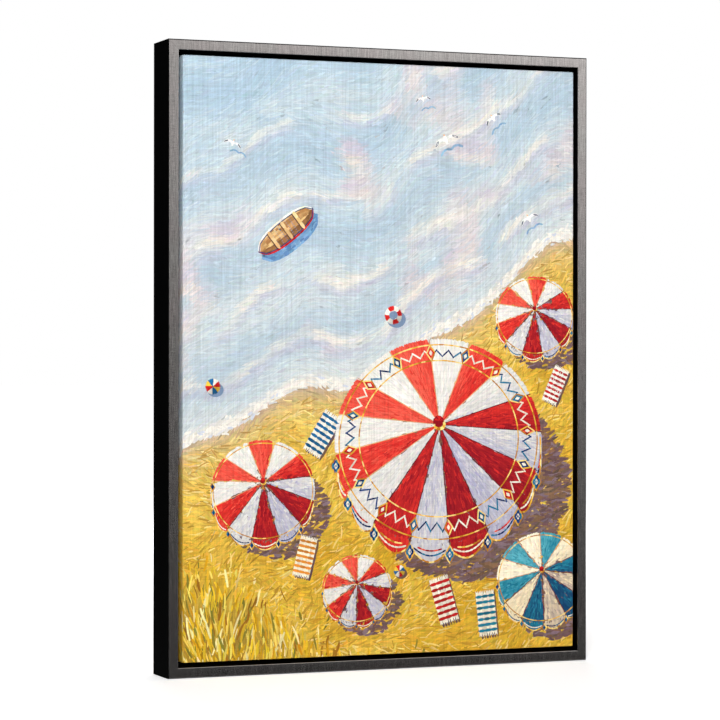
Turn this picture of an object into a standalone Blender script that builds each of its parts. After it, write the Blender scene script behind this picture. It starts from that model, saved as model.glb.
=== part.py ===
# Framed canvas print: a canvas stretched on wooden bars, held in a mitred floater frame.
# The front faces -Y, the wall is the plane y = 0, and +Z is up. Lengths are in metres.
# The origin lies on the wall side of the hanger, in the middle of its plate.

import bmesh
import bpy
from math import pi
from mathutils import Matrix

# Canvas
canvas_width = 0.500
canvas_height = 0.700
canvas_thickness = 0.0008
canvas_recess = 0.0005
canvas_corner_round = 0.0014
turn_over = 0.030

# Frame moulding
float_gap = 0.006
lip_width = 0.012
frame_depth = 0.057
ledge_thickness = 0.012
ledge_reach = 0.024
front_chamfer = 0.0008
wall_standoff = 0.003

# Stretcher bars and brace
stretcher_width = 0.040
bead_width = 0.005
bead_step = 0.0025
stretcher_fall = 0.006
brace_height = 0.038
brace_depth = 0.018
brace_setback = 0.004

# Corner keys
key_tip_depth = 0.010
key_reach = 0.022
key_tip_width = 0.0027
key_butt_width = 0.009
key_thickness = 0.003
key_layer_step = 0.006
key_setback = 0.010
key_slot_lap = 0.001

# Screws, hanger and bumpers
screw_spacing_long = 0.400
screw_spacing_short = 0.280
screw_head_radius = 0.0036
screw_head_height = 0.0018
screw_shank_radius = 0.0018
screw_length = 0.028
hanger_drop = 0.018
hanger_length = 0.064
hanger_height = 0.012
hanger_plate = 0.0012
hanger_flat = 0.0412
hanger_ramp = 0.0025
hanger_foot_hole = 0.0275
tooth_count = 9
tooth_pitch = 0.004
tooth_depth = 0.0024
hanger_screw_head_radius = 0.0026
hanger_screw_head_height = 0.0011
hanger_screw_shank_radius = 0.0012
hanger_screw_length = 0.011
bumper_radius = 0.005
bumper_top_radius = 0.0042
bumper_inset = 0.050
drill_run_out = 0.004
tooth_run_out = 0.0004

# Clearance between pieces that touch, and the sides of a turned piece
seat = 0.0003
sides = 12

# Sizes worked out from the above
frame_width = canvas_width + 2 * (float_gap + lip_width)
frame_height = canvas_height + 2 * (float_gap + lip_width)
centre_z = hanger_drop - frame_height / 2
frame_back = -wall_standoff
frame_front = frame_back - frame_depth
ledge_front = frame_back - ledge_thickness
canvas_back = ledge_front - seat
canvas_front = frame_front + canvas_recess
stretcher_inset = lip_width + float_gap + canvas_thickness + seat
stretcher_back = canvas_back - canvas_thickness - seat
stretcher_front = canvas_front + canvas_thickness + seat
inner_half_width = frame_width / 2 - stretcher_inset - stretcher_width
inner_half_height = frame_height / 2 - stretcher_inset - stretcher_width
screw_inset = lip_width + (float_gap + ledge_reach) / 2
mitre_offset = seat / 2 ** 0.5
ledge_middle = (lip_width + ledge_reach) / 2


def clear_scene():
    for old in list(bpy.data.objects):
        bpy.data.objects.remove(old, do_unlink=True)


def new_collection(name):
    collection = bpy.data.collections.new(name)
    bpy.context.scene.collection.children.link(collection)
    return collection


def surface(name, colour, roughness, metallic):
    material = bpy.data.materials.new(name)
    material.use_nodes = True
    shader = material.node_tree.nodes["Principled BSDF"]
    shader.inputs["Base Color"].default_value = (*colour, 1.0)
    shader.inputs["Roughness"].default_value = roughness
    shader.inputs["Metallic"].default_value = metallic
    return material


def add_piece(name, mesh, material):
    mesh.materials.clear()
    mesh.materials.append(material)
    piece = bpy.data.objects.new(name, mesh)
    piece.parent = centre
    part_collection.objects.link(piece)
    return piece


def add_cutter(name, mesh):
    cutter = bpy.data.objects.new(name, mesh)
    cutter.parent = centre
    cutter.hide_render = True
    cutter.display_type = "WIRE"
    cutter_collection.objects.link(cutter)
    return cutter


def cut(piece, cutter):
    boolean = piece.modifiers.new("cut_" + cutter.name, "BOOLEAN")
    boolean.operation = "DIFFERENCE"
    boolean.solver = "EXACT"
    boolean.object = cutter


# A flat outline drawn as a 2D curve, filled and extruded both ways along its own Z
def outline_mesh(name, points, half_length):
    curve = bpy.data.curves.new(name, "CURVE")
    curve.dimensions = "2D"
    curve.fill_mode = "BOTH"
    curve.extrude = half_length
    spline = curve.splines.new("POLY")
    spline.points.add(len(points) - 1)
    for point, (x, y) in zip(spline.points, points):
        point.co = (x, y, 0.0, 1.0)
    spline.use_cyclic_u = True
    drawn = bpy.data.objects.new(name, curve)
    part_collection.objects.link(drawn)
    view = bpy.context.evaluated_depsgraph_get()
    mesh = bpy.data.meshes.new_from_object(drawn.evaluated_get(view))
    bpy.data.objects.remove(drawn, do_unlink=True)
    shape = bmesh.new()
    shape.from_mesh(mesh)
    bmesh.ops.remove_doubles(shape, verts=shape.verts, dist=0.00001)
    bmesh.ops.recalc_face_normals(shape, faces=shape.faces)
    shape.to_mesh(mesh)
    shape.free()
    return mesh


# A length of moulding whose two ends are cut at 45 degrees, longest along its outer edge
def mitred_bar(name, profile, half_length):
    mesh = outline_mesh(name, profile, half_length)
    shape = bmesh.new()
    shape.from_mesh(mesh)
    for end in (1, -1):
        cut_result = bmesh.ops.bisect_plane(
            shape,
            geom=shape.verts[:] + shape.edges[:] + shape.faces[:],
            plane_co=(0, 0, end * (half_length - mitre_offset)),
            plane_no=(1, 0, end),
            clear_outer=True,
        )
        rim = [item for item in cut_result["geom_cut"] if isinstance(item, bmesh.types.BMEdge)]
        bmesh.ops.edgenet_fill(shape, edges=rim)
    bmesh.ops.recalc_face_normals(shape, faces=shape.faces)
    shape.to_mesh(mesh)
    shape.free()
    return mesh


# The four sides of a rectangle: bar name, turn about Y, and place of the outer edge
def four_sides(width, height):
    return {
        "left": (0.0, (-width / 2, 0, 0), height / 2),
        "right": (pi, (width / 2, 0, 0), height / 2),
        "top": (pi / 2, (0, 0, height / 2), width / 2),
        "bottom": (-pi / 2, (0, 0, -height / 2), width / 2),
    }


def build_bars(prefix, profile, width, height, material):
    bars = {}
    for side, (turn, place, half_length) in four_sides(width, height).items():
        name = prefix + "_" + side
        bar = add_piece(name, mitred_bar(name, profile, half_length), material)
        bar.rotation_euler = (0, turn, 0)
        bar.location = place
        bars[side] = bar
    return bars


# A floater moulding: a thin deep wall with a ledge along its back edge
def frame_profile():
    inner = lip_width + ledge_reach
    return [
        (0, frame_back),
        (0, frame_front + front_chamfer),
        (front_chamfer, frame_front),
        (lip_width - front_chamfer, frame_front),
        (lip_width, frame_front + front_chamfer),
        (lip_width, ledge_front),
        (inner, ledge_front),
        (inner, frame_back),
    ]


# A stretcher bar: a raised bead at the outer edge, and a face that falls away from the canvas
def stretcher_profile():
    return [
        (0, stretcher_back),
        (0, stretcher_front),
        (bead_width, stretcher_front),
        (bead_width + bead_step, stretcher_front + bead_step),
        (stretcher_width, stretcher_front + stretcher_fall),
        (stretcher_width, stretcher_back),
    ]


# The canvas is one sheet: the front, four wrapped sides and a margin turned over the back
def build_canvas(material):
    depth = canvas_back - canvas_front
    shape = bmesh.new()
    size = Matrix.Diagonal((canvas_width, depth, canvas_height, 1))
    place = Matrix.Translation((0, (canvas_front + canvas_back) / 2, 0))
    bmesh.ops.create_cube(shape, size=1, matrix=place @ size)
    back = [face for face in shape.faces if face.normal.y > 0.9]
    bmesh.ops.inset_region(shape, faces=back, thickness=turn_over, depth=0, use_even_offset=True)
    bmesh.ops.delete(shape, geom=back, context="FACES_ONLY")
    wrapped = []
    for edge in shape.edges:
        start, end = edge.verts
        on_front = max(start.co.y, end.co.y) < canvas_front + depth / 2
        along_depth = abs(start.co.y - end.co.y) > depth / 2
        if on_front or along_depth:
            wrapped.append(edge)
    bmesh.ops.bevel(
        shape, geom=wrapped, offset=canvas_corner_round, offset_type="OFFSET",
        segments=3, profile=0.5, affect="EDGES", material=-1,
    )
    mesh = bpy.data.meshes.new("canvas")
    shape.to_mesh(mesh)
    shape.free()
    canvas = add_piece("canvas", mesh, material)
    shell = canvas.modifiers.new("thickness", "SOLIDIFY")
    shell.thickness = canvas_thickness
    shell.offset = -1
    shell.use_even_offset = True
    return canvas


def build_brace(material):
    bpy.ops.mesh.primitive_cube_add(size=1)
    brace = bpy.context.object
    mesh = brace.data
    bpy.data.objects.remove(brace, do_unlink=True)
    length = 2 * (inner_half_width - seat)
    mesh.transform(Matrix.Diagonal((length, brace_depth, brace_height, 1)))
    piece = add_piece("cross_brace", mesh, material)
    piece.location = (0, stretcher_back - brace_setback - brace_depth / 2, 0)
    return piece


# A thin wedge: its straight edge lies along one bar, its tip is in a slot in the next bar.
# The outline is drawn from the inner corner, first axis into the opening, second off the bar.
def key_outline():
    return [
        (-key_tip_depth, seat),
        (key_reach, seat),
        (key_reach, seat + key_butt_width),
        (-key_tip_depth, seat + key_tip_width),
    ]


def key_slot_outline():
    reach = key_tip_depth + seat
    widening = (key_butt_width - key_tip_width) * key_tip_depth / (key_tip_depth + key_reach)
    tip_line = key_tip_width + widening + 2 * seat
    return [
        (-reach, -key_slot_lap),
        (key_slot_lap, -key_slot_lap),
        (key_slot_lap, tip_line),
        (-reach, tip_line),
    ]


# Turn an outline drawn at a corner into the corner's own quarter of the rectangle
def at_corner(points, along_x, right, up, swapped):
    placed = []
    for along, off in points:
        x, z = (along, off) if along_x else (off, along)
        placed.append((-right * x, -up * z))
    return list(reversed(placed)) if swapped else placed


def build_keys(stretchers, material):
    corners = {
        "top_left": (-1, 1), "top_right": (1, 1),
        "bottom_left": (-1, -1), "bottom_right": (1, -1),
    }
    for corner, (right, up) in corners.items():
        for layer, direction in enumerate(("level", "upright")):
            along_x = direction == "level"
            name = "corner_key_" + corner + "_" + direction
            depth = stretcher_back - key_setback - layer * key_layer_step
            # The outline's own Z becomes -Y when it is stood up about X
            place = (right * inner_half_width, depth, up * inner_half_height)
            swapped = (right * up > 0) != along_x
            outline = at_corner(key_outline(), along_x, right, up, swapped)
            key = add_piece(name, outline_mesh(name, outline, key_thickness / 2), material)
            key.rotation_euler = (pi / 2, 0, 0)
            key.location = place
            slot = at_corner(key_slot_outline(), along_x, right, up, swapped)
            slot_name = "slot_for_" + name
            cutter = add_cutter(slot_name, outline_mesh(slot_name, slot, key_thickness / 2 + seat))
            cutter.rotation_euler = (pi / 2, 0, 0)
            cutter.location = place
            cut(stretchers["left" if right < 0 else "right"], cutter)
            cut(stretchers["top" if up > 0 else "bottom"], cutter)


# A screw as a turned profile, drawn from the top of the head down its outer side to the tip
def screw_mesh(name, head_radius, head_height, shank_radius, length):
    profile = [
        (0, head_height),
        (head_radius * 0.6, head_height),
        (head_radius, head_height * 0.4),
        (head_radius, 0),
        (shank_radius, 0),
        (shank_radius, -length + 2 * shank_radius),
        (0, -length),
    ]
    shape = bmesh.new()
    points = [shape.verts.new((x, 0, z)) for x, z in profile]
    for start, end in zip(points, points[1:]):
        shape.edges.new((start, end))
    mesh = bpy.data.meshes.new(name)
    shape.to_mesh(mesh)
    shape.free()
    return mesh


def turn_profile(piece):
    turned = piece.modifiers.new("turned", "SCREW")
    turned.axis = "Z"
    turned.angle = 2 * pi
    turned.steps = sides
    turned.render_steps = sides
    turned.use_merge_vertices = True
    turned.merge_threshold = 0.00005


# A drilled hole, along Y from in front of its mouth to just past the screw's tip
def drill(name, radius, x, z, depth):
    shape = bmesh.new()
    bmesh.ops.create_cone(
        shape, cap_ends=True, segments=sides, radius1=radius, radius2=radius,
        depth=drill_run_out + depth,
    )
    mesh = bpy.data.meshes.new(name)
    shape.to_mesh(mesh)
    shape.free()
    cutter = add_cutter(name, mesh)
    cutter.rotation_euler = (-pi / 2, 0, 0)
    cutter.location = (x, frame_back + (drill_run_out - depth) / 2, z)
    return cutter


def build_fixing_screws(frame, stretchers, canvas, material):
    side_x = frame_width / 2 - screw_inset
    side_z = frame_height / 2 - screw_inset
    half_long = screw_spacing_long / 2
    half_short = screw_spacing_short / 2
    places = {
        "left_upper": ("left", -side_x, half_long),
        "left_lower": ("left", -side_x, -half_long),
        "right_upper": ("right", side_x, half_long),
        "right_lower": ("right", side_x, -half_long),
        "top_left": ("top", -half_short, side_z),
        "top_right": ("top", half_short, side_z),
        "bottom_left": ("bottom", -half_short, -side_z),
        "bottom_right": ("bottom", half_short, -side_z),
    }
    for label, (side, x, z) in places.items():
        name = "fixing_screw_" + label
        mesh = screw_mesh(
            name, screw_head_radius, screw_head_height, screw_shank_radius, screw_length,
        )
        screw = add_piece(name, mesh, material)
        turn_profile(screw)
        screw.rotation_euler = (-pi / 2, 0, 0)
        screw.location = (x, frame_back + seat, z)
        hole = drill("hole_for_" + name, screw_shank_radius + seat, x, z, screw_length + seat)
        cut(frame[side], hole)
        cut(canvas, hole)
        cut(stretchers[side], hole)


# A strap that stands off the frame between two feet, with teeth along its lower edge
def hanger_profile():
    foot_face = -wall_standoff + seat
    half = hanger_length / 2
    flat = hanger_flat / 2
    inner_flat = flat - hanger_plate / 2
    foot = flat + hanger_ramp
    inner_foot = foot - hanger_plate / 2
    return [
        (-half, foot_face),
        (-inner_foot, foot_face),
        (-inner_flat, -hanger_plate),
        (inner_flat, -hanger_plate),
        (inner_foot, foot_face),
        (half, foot_face),
        (half, foot_face + hanger_plate),
        (foot, foot_face + hanger_plate),
        (flat, 0),
        (-flat, 0),
        (-foot, foot_face + hanger_plate),
        (-half, foot_face + hanger_plate),
    ]


def teeth_outline():
    lower_edge = -hanger_height / 2
    start = -tooth_count * tooth_pitch / 2
    points = [(start, lower_edge - tooth_run_out)]
    for tooth in range(tooth_count):
        left = start + tooth * tooth_pitch
        points.append((left + tooth_pitch / 2, lower_edge + tooth_depth))
        points.append((left + tooth_pitch, lower_edge - tooth_run_out))
    points.append((-start, lower_edge - tooth_depth))
    points.append((start, lower_edge - tooth_depth))
    return points


def build_hanger(frame_top, plate_material, screw_material):
    height = frame_height / 2 - hanger_drop
    mesh = outline_mesh("hanger", hanger_profile(), hanger_height / 2)
    hanger = add_piece("hanger", mesh, plate_material)
    hanger.location = (0, 0, height)
    teeth = add_cutter("hanger_teeth", outline_mesh("hanger_teeth", teeth_outline(), wall_standoff))
    teeth.rotation_euler = (pi / 2, 0, 0)
    teeth.location = (0, 0, height)
    cut(hanger, teeth)
    for label, x in (("left", -hanger_foot_hole), ("right", hanger_foot_hole)):
        name = "hanger_screw_" + label
        mesh = screw_mesh(
            name, hanger_screw_head_radius, hanger_screw_head_height,
            hanger_screw_shank_radius, hanger_screw_length,
        )
        screw = add_piece(name, mesh, screw_material)
        turn_profile(screw)
        screw.rotation_euler = (-pi / 2, 0, 0)
        screw.location = (x, frame_back + hanger_plate + 2 * seat, height)
        depth = hanger_screw_length - hanger_plate - seat
        hole = drill("hole_for_" + name, hanger_screw_shank_radius + seat, x, height, depth)
        cut(hanger, hole)
        cut(frame_top, hole)


def build_bumpers(material):
    height = -frame_height / 2 + ledge_middle
    reach = frame_width / 2 - bumper_inset
    for label, x in (("left", -reach), ("right", reach)):
        shape = bmesh.new()
        bmesh.ops.create_cone(
            shape, cap_ends=True, segments=2 * sides, radius1=bumper_radius,
            radius2=bumper_top_radius, depth=wall_standoff - seat,
        )
        mesh = bpy.data.meshes.new("bumper_" + label)
        shape.to_mesh(mesh)
        shape.free()
        bumper = add_piece("bumper_" + label, mesh, material)
        bumper.rotation_euler = (-pi / 2, 0, 0)
        bumper.location = (x, -(wall_standoff - seat) / 2, height)


clear_scene()
part_collection = new_collection("framed_canvas_print")
cutter_collection = new_collection("cutters")
centre = bpy.data.objects.new("picture_centre", None)
centre.location = (0, 0, centre_z)
part_collection.objects.link(centre)

graphite = surface("graphite_moulding", (0.10, 0.097, 0.095), 0.45, 0.4)
sand_print = surface("printed_canvas", (0.80, 0.66, 0.38), 0.85, 0.0)
pine = surface("pine", (0.70, 0.52, 0.32), 0.65, 0.0)
beech = surface("beech", (0.62, 0.42, 0.25), 0.6, 0.0)
zinc = surface("zinc_steel", (0.62, 0.63, 0.64), 0.35, 1.0)
rubber = surface("clear_rubber", (0.55, 0.56, 0.56), 0.4, 0.0)

frame_bars = build_bars("frame", frame_profile(), frame_width, frame_height, graphite)
stretcher_bars = build_bars(
    "stretcher", stretcher_profile(),
    frame_width - 2 * stretcher_inset, frame_height - 2 * stretcher_inset, pine,
)
canvas_sheet = build_canvas(sand_print)
build_brace(pine)
build_keys(stretcher_bars, beech)
build_fixing_screws(frame_bars, stretcher_bars, canvas_sheet, zinc)
build_hanger(frame_bars["top"], zinc, zinc)
build_bumpers(rubber)
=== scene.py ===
import bmesh
import bpy
import numpy as np
from math import cos, pi, radians, sin
from mathutils import Matrix, Vector


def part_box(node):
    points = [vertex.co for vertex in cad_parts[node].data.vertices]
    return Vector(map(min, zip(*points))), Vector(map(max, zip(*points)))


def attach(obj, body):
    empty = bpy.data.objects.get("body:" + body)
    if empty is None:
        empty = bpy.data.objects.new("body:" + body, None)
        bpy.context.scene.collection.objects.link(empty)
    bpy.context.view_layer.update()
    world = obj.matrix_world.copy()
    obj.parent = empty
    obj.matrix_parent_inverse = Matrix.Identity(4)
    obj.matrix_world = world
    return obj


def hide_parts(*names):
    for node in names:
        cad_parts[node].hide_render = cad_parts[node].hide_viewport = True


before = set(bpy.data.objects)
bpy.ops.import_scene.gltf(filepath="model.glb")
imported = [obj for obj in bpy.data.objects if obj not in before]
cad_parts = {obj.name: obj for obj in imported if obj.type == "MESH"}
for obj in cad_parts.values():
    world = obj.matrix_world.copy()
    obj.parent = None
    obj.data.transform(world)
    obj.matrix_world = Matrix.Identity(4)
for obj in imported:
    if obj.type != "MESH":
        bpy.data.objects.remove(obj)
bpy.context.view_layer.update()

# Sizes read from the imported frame
frameLeft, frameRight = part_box("frame_left"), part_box("frame_right")
frameTop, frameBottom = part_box("frame_top"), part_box("frame_bottom")
canvasLow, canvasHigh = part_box("canvas")
frontY = frameLeft[0][1]
backY = frameLeft[1][1]
outerWidth = frameRight[1][0] - frameLeft[0][0]
outerHeight = frameTop[1][2] - frameBottom[0][2]
floorZ = frameBottom[0][2]
centreZ = floorZ + outerHeight / 2
ledgeInner = frameLeft[1][0] - frameLeft[0][0]
canvasWidth = canvasHigh[0] - canvasLow[0]
canvasHeight = canvasHigh[2] - canvasLow[2]
clothFrontY = canvasLow[1]
clothDepth = canvasHigh[1] - canvasLow[1]
wholeTurn = 2 * pi


# Helpers for nodes, pieces and meshes

def startFinish(name):
    material = bpy.data.materials.new(name)
    material.use_nodes = True
    tree = material.node_tree
    return material, tree, tree.nodes["Principled BSDF"]


def addNode(tree, kind, values=None, **settings):
    node = tree.nodes.new(kind)
    for key, value in settings.items():
        setattr(node, key, value)
    for key, value in (values or {}).items():
        node.inputs[key].default_value = value
    return node


def objectPattern(tree, scale):
    place = addNode(tree, "ShaderNodeTexCoord")
    mapping = addNode(tree, "ShaderNodeMapping", {"Scale": scale})
    tree.links.new(place.outputs["Object"], mapping.inputs["Vector"])
    return mapping.outputs["Vector"]


def noiseOn(tree, vector, detail=3.0, roughness=0.5):
    noise = addNode(tree, "ShaderNodeTexNoise", {"Scale": 1.0, "Detail": detail, "Roughness": roughness})
    tree.links.new(vector, noise.inputs["Vector"])
    return noise.outputs["Fac"]


def ramp(tree, value, stops):
    node = addNode(tree, "ShaderNodeValToRGB")
    points = node.color_ramp.elements
    while len(points) < len(stops):
        points.new(0.5)
    for point, (place, colour) in zip(points, stops):
        point.position = place
        point.color = (*colour, 1.0)
    tree.links.new(value, node.inputs["Fac"])
    return node.outputs["Color"]


def mathOf(tree, operation, first, second=None, third=None):
    node = addNode(tree, "ShaderNodeMath", operation=operation)
    for socket, value in zip(node.inputs, (first, second, third)):
        if value is None:
            continue
        if isinstance(value, (int, float)):
            socket.default_value = value
        else:
            tree.links.new(value, socket)
    return node.outputs[0]


def mixColour(tree, blend, amount, first, second):
    node = addNode(tree, "ShaderNodeMix", data_type="RGBA", blend_type=blend)
    for socket, value in ((node.inputs[0], amount), (node.inputs[6], first), (node.inputs[7], second)):
        if isinstance(value, (int, float, tuple)):
            socket.default_value = (*value, 1.0) if isinstance(value, tuple) else value
        else:
            tree.links.new(value, socket)
    return node.outputs[2]


def scaleColour(tree, colour, amount):
    node = addNode(tree, "ShaderNodeVectorMath", operation="SCALE")
    tree.links.new(colour, node.inputs[0])
    tree.links.new(amount, node.inputs["Scale"])
    return node.outputs["Vector"]


def spread(tree, value, low, high):
    node = addNode(tree, "ShaderNodeMapRange", {"To Min": low, "To Max": high})
    tree.links.new(value, node.inputs["Value"])
    return node.outputs["Result"]


def addBump(tree, shader, height, strength, distance):
    bump = addNode(tree, "ShaderNodeBump", {"Strength": strength, "Distance": distance})
    tree.links.new(height, bump.inputs["Height"])
    tree.links.new(bump.outputs["Normal"], shader.inputs["Normal"])


# Weighted normals keep broad faces flat beside their rounded arrises
def meshPiece(name, mesh, finishes, smoothAngle=35, broadFaces=False):
    mesh.name = name
    if mesh.materials:
        mesh.materials.clear()
    for finish in finishes:
        mesh.materials.append(finish)
    mesh.shade_smooth()
    mesh.set_sharp_from_angle(angle=radians(smoothAngle))
    piece = bpy.data.objects.new(name, mesh)
    bpy.context.scene.collection.objects.link(piece)
    if broadFaces:
        weighted = piece.modifiers.new("weighted normals", "WEIGHTED_NORMAL")
        weighted.keep_sharp = True
    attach(piece, "root")
    return piece


def bmeshToMesh(shape, name):
    mesh = bpy.data.meshes.new(name)
    shape.to_mesh(mesh)
    shape.free()
    return mesh


def evaluatedMesh(maker):
    view = bpy.context.evaluated_depsgraph_get()
    mesh = bpy.data.meshes.new_from_object(maker.evaluated_get(view))
    bpy.data.objects.remove(maker, do_unlink=True)
    return mesh


# Finishes

def brushedFoil():
    look = dict(
        streakWidth=0.0009, streakLength=0.020, crossWidth=0.0011, crossLength=0.007, streakShare=0.72,
        dark=(0.25, 0.236, 0.231), light=(0.48, 0.455, 0.446), warm=(1.0, 0.97, 0.975),
        cool=(0.965, 0.985, 0.975), smoothest=0.19, roughest=0.28,
    )
    material, tree, shader = startFinish("brushed graphite foil")
    along = objectPattern(tree, (1 / look["streakWidth"], 1, 1 / look["streakLength"]))
    across = objectPattern(tree, (1 / look["crossLength"], 1, 1 / look["crossWidth"]))
    streaks = noiseOn(tree, along, detail=4.0, roughness=0.62)
    crossing = noiseOn(tree, across, detail=2.0)
    cloud = noiseOn(tree, objectPattern(tree, (26, 26, 26)), detail=2.0)
    share = look["streakShare"]
    both = mathOf(tree, "MULTIPLY_ADD", streaks, share, mathOf(tree, "MULTIPLY", crossing, 1 - share))
    tone = ramp(tree, both, [(0.36, look["dark"]), (0.64, look["light"])])
    tint = ramp(tree, cloud, [(0.35, look["warm"]), (0.65, look["cool"])])
    tree.links.new(mixColour(tree, "MULTIPLY", 1.0, tone, tint), shader.inputs["Base Color"])
    roughness = spread(tree, both, look["smoothest"], look["roughest"])
    tree.links.new(roughness, shader.inputs["Roughness"])
    shader.inputs["Metallic"].default_value = 1.0
    addBump(tree, shader, both, 0.08, 0.0002)
    return material


def blackPaint():
    look = dict(deep=(0.0006, 0.0006, 0.0007), worn=(0.0016, 0.0016, 0.0017), smoothest=0.28, roughest=0.44)
    material, tree, shader = startFinish("matte black paint")
    grain = noiseOn(tree, objectPattern(tree, (900, 900, 60)), detail=3.0)
    speck = noiseOn(tree, objectPattern(tree, (420, 420, 420)), detail=2.0)
    tone = ramp(tree, grain, [(0.3, look["deep"]), (0.7, look["worn"])])
    tree.links.new(tone, shader.inputs["Base Color"])
    roughness = spread(tree, speck, look["smoothest"], look["roughest"])
    tree.links.new(roughness, shader.inputs["Roughness"])
    shader.inputs["Specular IOR Level"].default_value = 0.12
    addBump(tree, shader, mathOf(tree, "ADD", grain, speck), 0.12, 0.0002)
    return material


def plainWood(name, upright, light, dark, roughness):
    look = dict(ringWidth=0.0042, ringLength=0.16, fibreWidth=0.0005, fibreLength=0.022)
    material, tree, shader = startFinish(name)

    def alongBar(width, length):
        thin, long = 1 / width, 1 / length
        return objectPattern(tree, (thin, thin, long) if upright else (long, thin, thin))

    rings = noiseOn(tree, alongBar(look["ringWidth"], look["ringLength"]), 2.5, 0.55)
    fibres = noiseOn(tree, alongBar(look["fibreWidth"], look["fibreLength"]), 3.0, 0.6)
    figure = mathOf(tree, "MULTIPLY_ADD", rings, 0.68, mathOf(tree, "MULTIPLY", fibres, 0.32))
    middle = tuple((a + b) / 2 for a, b in zip(light, dark))
    tone = ramp(tree, figure, [(0.34, dark), (0.48, middle), (0.60, light)])
    tree.links.new(tone, shader.inputs["Base Color"])
    tree.links.new(spread(tree, fibres, roughness - 0.08, roughness + 0.10), shader.inputs["Roughness"])
    shader.inputs["Specular IOR Level"].default_value = 0.25
    addBump(tree, shader, figure, 0.35, 0.0003)
    return material


weaving = dict(pitch=0.0013, wander=1.6, threads=0.75, slubs=0.55, upSlubs=1.2, levelSlubs=0.8)


# The cloth's plain weave as a height: two sets of threads that pass over each other, with thick places
def weaveHeight(tree):
    place = addNode(tree, "ShaderNodeTexCoord")
    split = addNode(tree, "ShaderNodeSeparateXYZ")
    tree.links.new(place.outputs["Object"], split.inputs["Vector"])
    wander = noiseOn(tree, objectPattern(tree, (150, 150, 150)), detail=1.0)
    drift = mathOf(tree, "MULTIPLY", mathOf(tree, "SUBTRACT", wander, 0.5), weaving["wander"])
    level = mathOf(tree, "SUBTRACT", split.outputs["Z"], split.outputs["Y"])
    sideways = mathOf(tree, "SUBTRACT", split.outputs["X"], split.outputs["Y"])
    perMetre = wholeTurn / weaving["pitch"]
    warp = mathOf(tree, "ADD", mathOf(tree, "MULTIPLY", sideways, perMetre), drift)
    weft = mathOf(tree, "ADD", mathOf(tree, "MULTIPLY", level, perMetre), drift)
    warpWave = mathOf(tree, "SINE", warp)
    weftWave = mathOf(tree, "SINE", weft)
    over = mathOf(tree, "MULTIPLY", warpWave, weftWave)
    ridges = mathOf(tree, "ADD", mathOf(tree, "ABSOLUTE", warpWave), mathOf(tree, "ABSOLUTE", weftWave))
    height = mathOf(tree, "MULTIPLY_ADD", over, 0.25, mathOf(tree, "MULTIPLY", ridges, 0.25))
    slubsUp = noiseOn(tree, objectPattern(tree, (500, 500, 14)), detail=2.0, roughness=0.6)
    slubsLevel = noiseOn(tree, objectPattern(tree, (14, 14, 500)), detail=2.0, roughness=0.6)
    levelPart = mathOf(tree, "MULTIPLY", slubsLevel, weaving["levelSlubs"])
    slubs = mathOf(tree, "MULTIPLY_ADD", slubsUp, weaving["upSlubs"], levelPart)
    threadPart = mathOf(tree, "MULTIPLY", height, weaving["threads"])
    return mathOf(tree, "MULTIPLY_ADD", slubs, weaving["slubs"], threadPart)


def printedCloth(name, streaky):
    look = dict(weaveShade=0.58, bristleShade=0.12, bristleRelief=1.3, bristles=(1.6, 9.0, 1.0))
    material, tree, shader = startFinish(name)
    paint = addNode(tree, "ShaderNodeAttribute", attribute_name="paint").outputs["Color"]
    weave = weaveHeight(tree)
    low, high = 1 - look["weaveShade"], 1 + look["weaveShade"] * 0.4
    shade = mathOf(tree, "MULTIPLY_ADD", weave, high - low, low)
    relief = mathOf(tree, "MULTIPLY", weave, 0.6)
    if streaky:
        along = addNode(tree, "ShaderNodeUVMap", uv_map="stroke")
        stretched = addNode(tree, "ShaderNodeMapping", {"Scale": look["bristles"]})
        tree.links.new(along.outputs["UV"], stretched.inputs["Vector"])
        number = addNode(tree, "ShaderNodeAttribute", attribute_name="chance").outputs["Fac"]
        noise = addNode(tree, "ShaderNodeTexNoise", {"Scale": 1.0, "Detail": 2.0}, noise_dimensions="4D")
        tree.links.new(stretched.outputs["Vector"], noise.inputs["Vector"])
        tree.links.new(mathOf(tree, "MULTIPLY", number, 50.0), noise.inputs["W"])
        bristles = noise.outputs["Fac"]
        bristleTone = spread(tree, bristles, 1 - look["bristleShade"], 1 + look["bristleShade"])
        shade = mathOf(tree, "MULTIPLY", shade, bristleTone)
        relief = mathOf(tree, "ADD", relief, mathOf(tree, "MULTIPLY", bristles, look["bristleRelief"]))
    tree.links.new(scaleColour(tree, paint, shade), shader.inputs["Base Color"])
    shader.inputs["Roughness"].default_value = 0.85
    shader.inputs["Specular IOR Level"].default_value = 0.12
    addBump(tree, shader, relief, 0.55, 0.0002)
    return material


def rawCloth():
    material, tree, shader = startFinish("unprinted canvas")
    weave = weaveHeight(tree)
    # Painted shade from the weave's height: darker where threads lie low, paler on raised threads
    tone = ramp(tree, weave, [(0.1, (0.52, 0.49, 0.42)), (0.8, (0.80, 0.77, 0.69))])
    tree.links.new(tone, shader.inputs["Base Color"])
    shader.inputs["Roughness"].default_value = 0.92
    shader.inputs["Specular IOR Level"].default_value = 0.1
    addBump(tree, shader, weave, 0.6, 0.0003)
    return material


def platedSteel(name, light, dark, roughness):
    material, tree, shader = startFinish(name)
    scuffs = noiseOn(tree, objectPattern(tree, (260, 900, 900)), detail=4.0)
    blotch = noiseOn(tree, objectPattern(tree, (170, 170, 170)), detail=2.0)
    tone = ramp(tree, blotch, [(0.3, dark), (0.7, light)])
    tree.links.new(tone, shader.inputs["Base Color"])
    tree.links.new(spread(tree, scuffs, roughness - 0.10, roughness + 0.14), shader.inputs["Roughness"])
    shader.inputs["Metallic"].default_value = 1.0
    addBump(tree, shader, scuffs, 0.15, 0.0001)
    return material


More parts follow.
